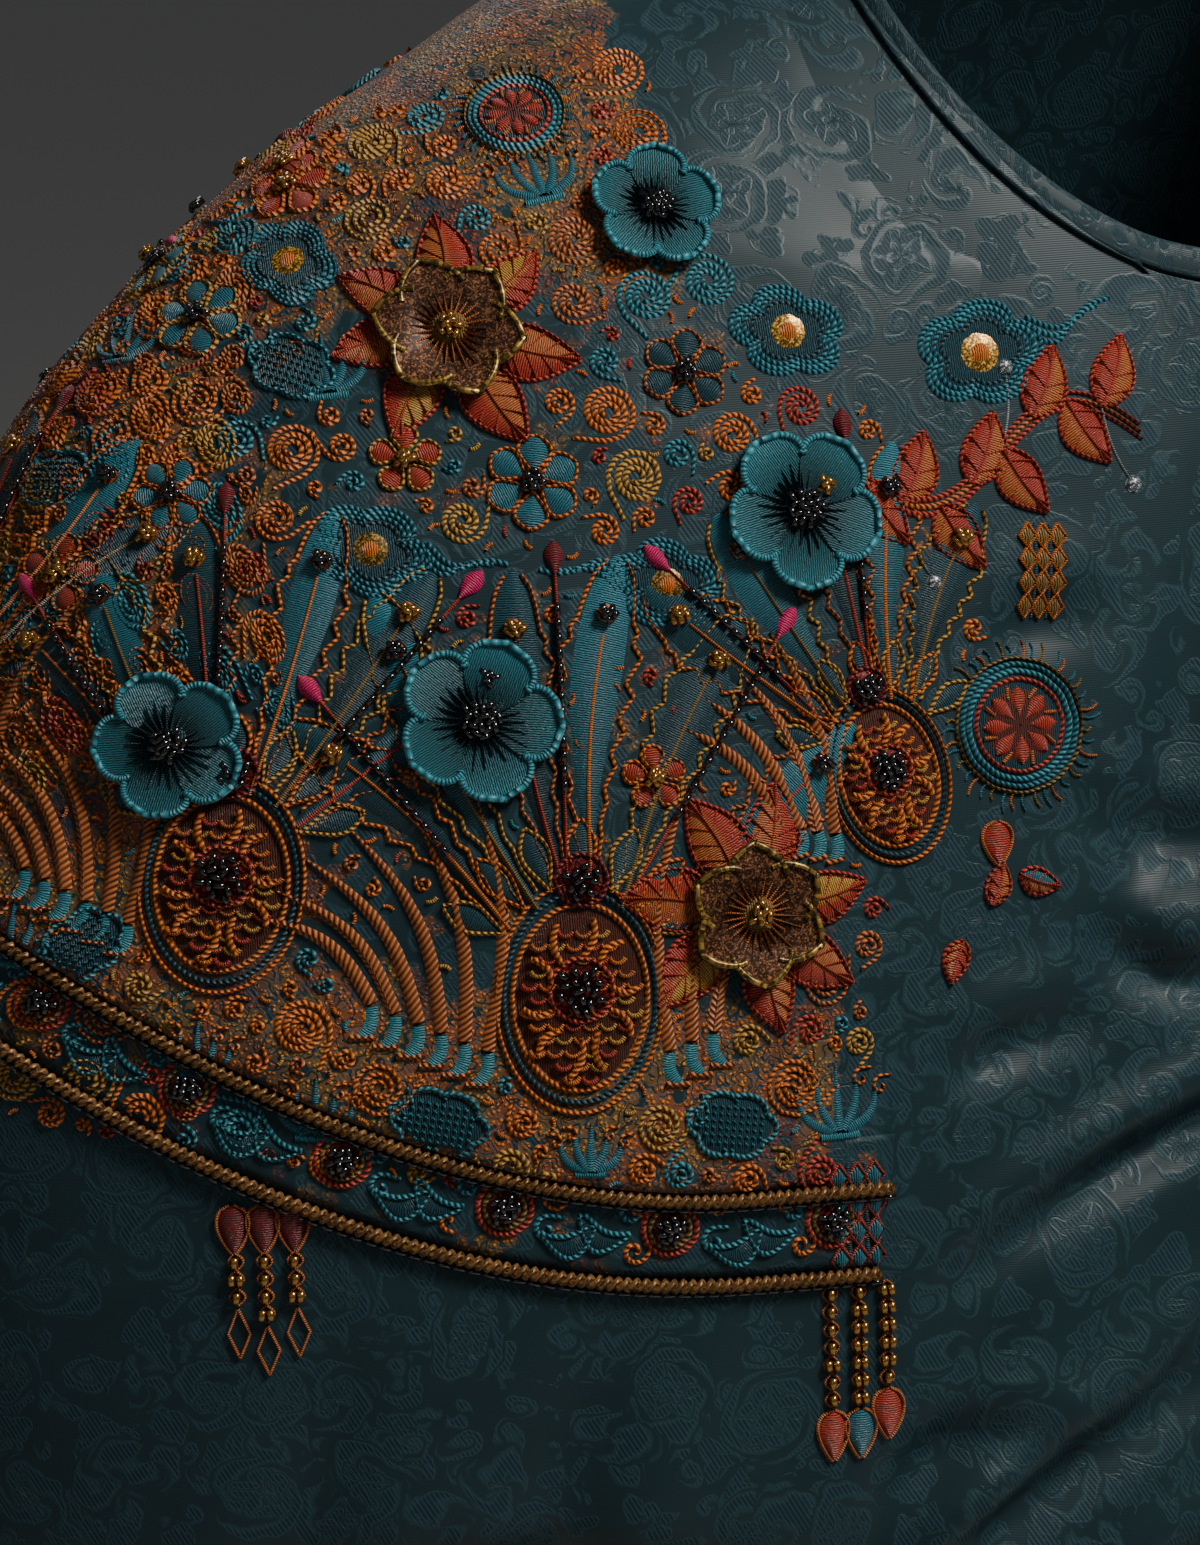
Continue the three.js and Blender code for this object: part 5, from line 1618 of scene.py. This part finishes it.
# %% Finish the neck and the front
rows = np.linspace(NECK_ROW, TOP_ROW, 60)
front_neck, back_neck = on_form(rows, 0.0, False), on_form(rows, 0.0, True)
left = np.concatenate([front_neck[front_neck[:, 0] > LAP + 0.6], back_neck[::-1]])
mirror = np.array([-1, 1, 1])
right = np.concatenate([(back_neck * mirror)[1:], (front_neck * mirror)[::-1]])
neck = np.concatenate([left, right])
on_lap = (np.arange(len(neck)) >= len(left)) & (neck[:, 1] < 0)
lift = np.where(on_lap, LAP_LIFT * (1 - smoothstep(LAP + 2, LAP + 2 + LAP_RAMP, -neck[:, 0])), 0)
behind = neck[:, 1] > 0
level = unit(np.stack([neck[:, 0], neck[:, 1] + 10 * behind, np.zeros(len(neck))], -1))
up = unit(np.stack([-0.35 * level[:, 0], -0.35 * level[:, 1], np.ones(len(neck))], -1))
face = unit(level - up * (level * up).sum(1, keepdims=True))
n = np.where(behind[:, None], outward(*neck.T, True), outward(*neck.T, False))
foot = neck + up * 0.6 + n * lift[:, None]
a = np.linspace(0, 2 * math.pi, 17)
thick = np.sign(np.cos(a)) * np.abs(np.cos(a)) ** 0.45 - 0.6
tall = (1 + np.sign(np.sin(a)) * np.abs(np.sin(a)) ** 0.45) * 3.0
band = foot[:, None] + face[:, None] * thick[:, None] + up[:, None] * tall[:, None]
ends = [np.broadcast_to(band[i, :-1].mean(0), (1, 17, 3)) for i in (0, -1)]
band = np.concatenate([ends[0], band, ends[1]])
run = np.arange(len(band))[:, None] * 4.0
uv = np.stack(np.broadcast_arrays(run, 6 * a), -1).reshape(-1, 2)
piece = make_mesh("neck_band_silk", band.reshape(-1, 3), grid_faces(len(band), 17), silk, uv)
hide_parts("neck_band")


def centre_front(z):
    """Depth of the cloth on the middle line: the form above the chest, a straight line below."""
    if z < CHEST_Z:
        return -DEPTH[False] - (HEM_DEPTH[False] - DEPTH[False]) * (CHEST_Z - z) / (CHEST_Z - HEM_Z)
    return -DEPTH[False] * math.sqrt(1 - float(share(0.0, z)) ** 2)


BUTTON_HEIGHTS = (-96, -212, -328, -444, -560)
BUTTON_RADIUS, BUTTON_RISE = 7.5, 3.0
for number, z in enumerate(BUTTON_HEIGHTS, 1):
    y = centre_front(z)
    slope = centre_front(z + 1) - y
    rise = np.array([0, slope, 1.0]) / math.hypot(slope, 1)
    out_way = np.array([0, -rise[2], rise[1]])
    s, a = np.linspace(0, 1, 12)[:, None], np.linspace(0, 2 * math.pi, 33)
    reach_out = BUTTON_RADIUS * np.sin(s * math.pi / 2 * 1.16) ** 0.9
    top = BUTTON_RISE * np.cos(np.minimum(s * 1.16, 1.16) * math.pi / 2 * 0.86) ** 0.8
    top = np.where(s > 0.97, 0.0, top)
    dome = (np.array([0, y, z]) + out_way * 2.4 + (reach_out * np.cos(a))[..., None] * [1, 0, 0]
            + (reach_out * np.sin(a))[..., None] * rise + np.broadcast_to(top, (12, 33))[..., None]
            * out_way)
    uv = np.stack([reach_out * np.cos(a) + 30 * number, reach_out * np.sin(a)], -1).reshape(-1, 2)
    piece = make_mesh(f"button_{number}_silk", dome.reshape(-1, 3), grid_faces(12, 33), silk, uv)
    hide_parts(f"button_{number}")
print("neck band of", len(band), "sections and", len(BUTTON_HEIGHTS), "buttons")

# %% [markdown]
# ## Light and floor
# A small light high on the right models the stitches and folds. A weaker one on the left and one
# behind fill the shadows, and a pale floor lies well below.

# %% Light the vest
def add_light(name, place_at, target, size, power, colour):
    """A square light that faces its target."""
    data = bpy.data.lights.new(name, "AREA")
    data.shape = "SQUARE"
    data.size = size
    data.energy = power
    data.color = colour
    light = bpy.data.objects.new(name, data)
    light.location = place_at
    aim = Vector(target) - Vector(place_at)
    light.rotation_euler = aim.to_track_quat("-Z", "Y").to_euler()
    scene.collection.objects.link(light)
    return light


add_light("key light", (0.42, -0.86, 1.0), (-0.1, -0.08, -0.2), 0.36, 29.0, (1.0, 0.96, 0.90))
add_light("fill light", (-1.6, -1.2, 0.6), (-0.12, -0.06, -0.2), 1.2, 1.7, (0.9, 0.95, 1.0))
add_light("back light", (0.4, 1.8, 1.3), (0, 0, -0.3), 0.9, 12.0, (1.0, 1.0, 1.0))
world = bpy.data.worlds.new("studio")
world.use_nodes = True
world.node_tree.nodes["Background"].inputs[0].default_value = (0.75, 0.78, 0.80, 1)
world.node_tree.nodes["Background"].inputs[1].default_value = 0.09
scene.world = world
FLOOR_Z, FLOOR_HALF = -0.85, 30
floor_material, _, _ = new_material("pale floor", (0.62, 0.61, 0.59), 0.8)
floor_mesh = bpy.data.meshes.new("floor")
corners = [(x * FLOOR_HALF, y * FLOOR_HALF, FLOOR_Z) for x, y in ((-1, -1), (1, -1), (1, 1), (-1, 1))]
floor_mesh.from_pydata(corners, [], [(0, 1, 2, 3)])
floor_mesh.materials.append(floor_material)
floor = bpy.data.objects.new("floor", floor_mesh)
scene.collection.objects.link(floor)
print("three lights and a floor at", FLOOR_Z, "m")
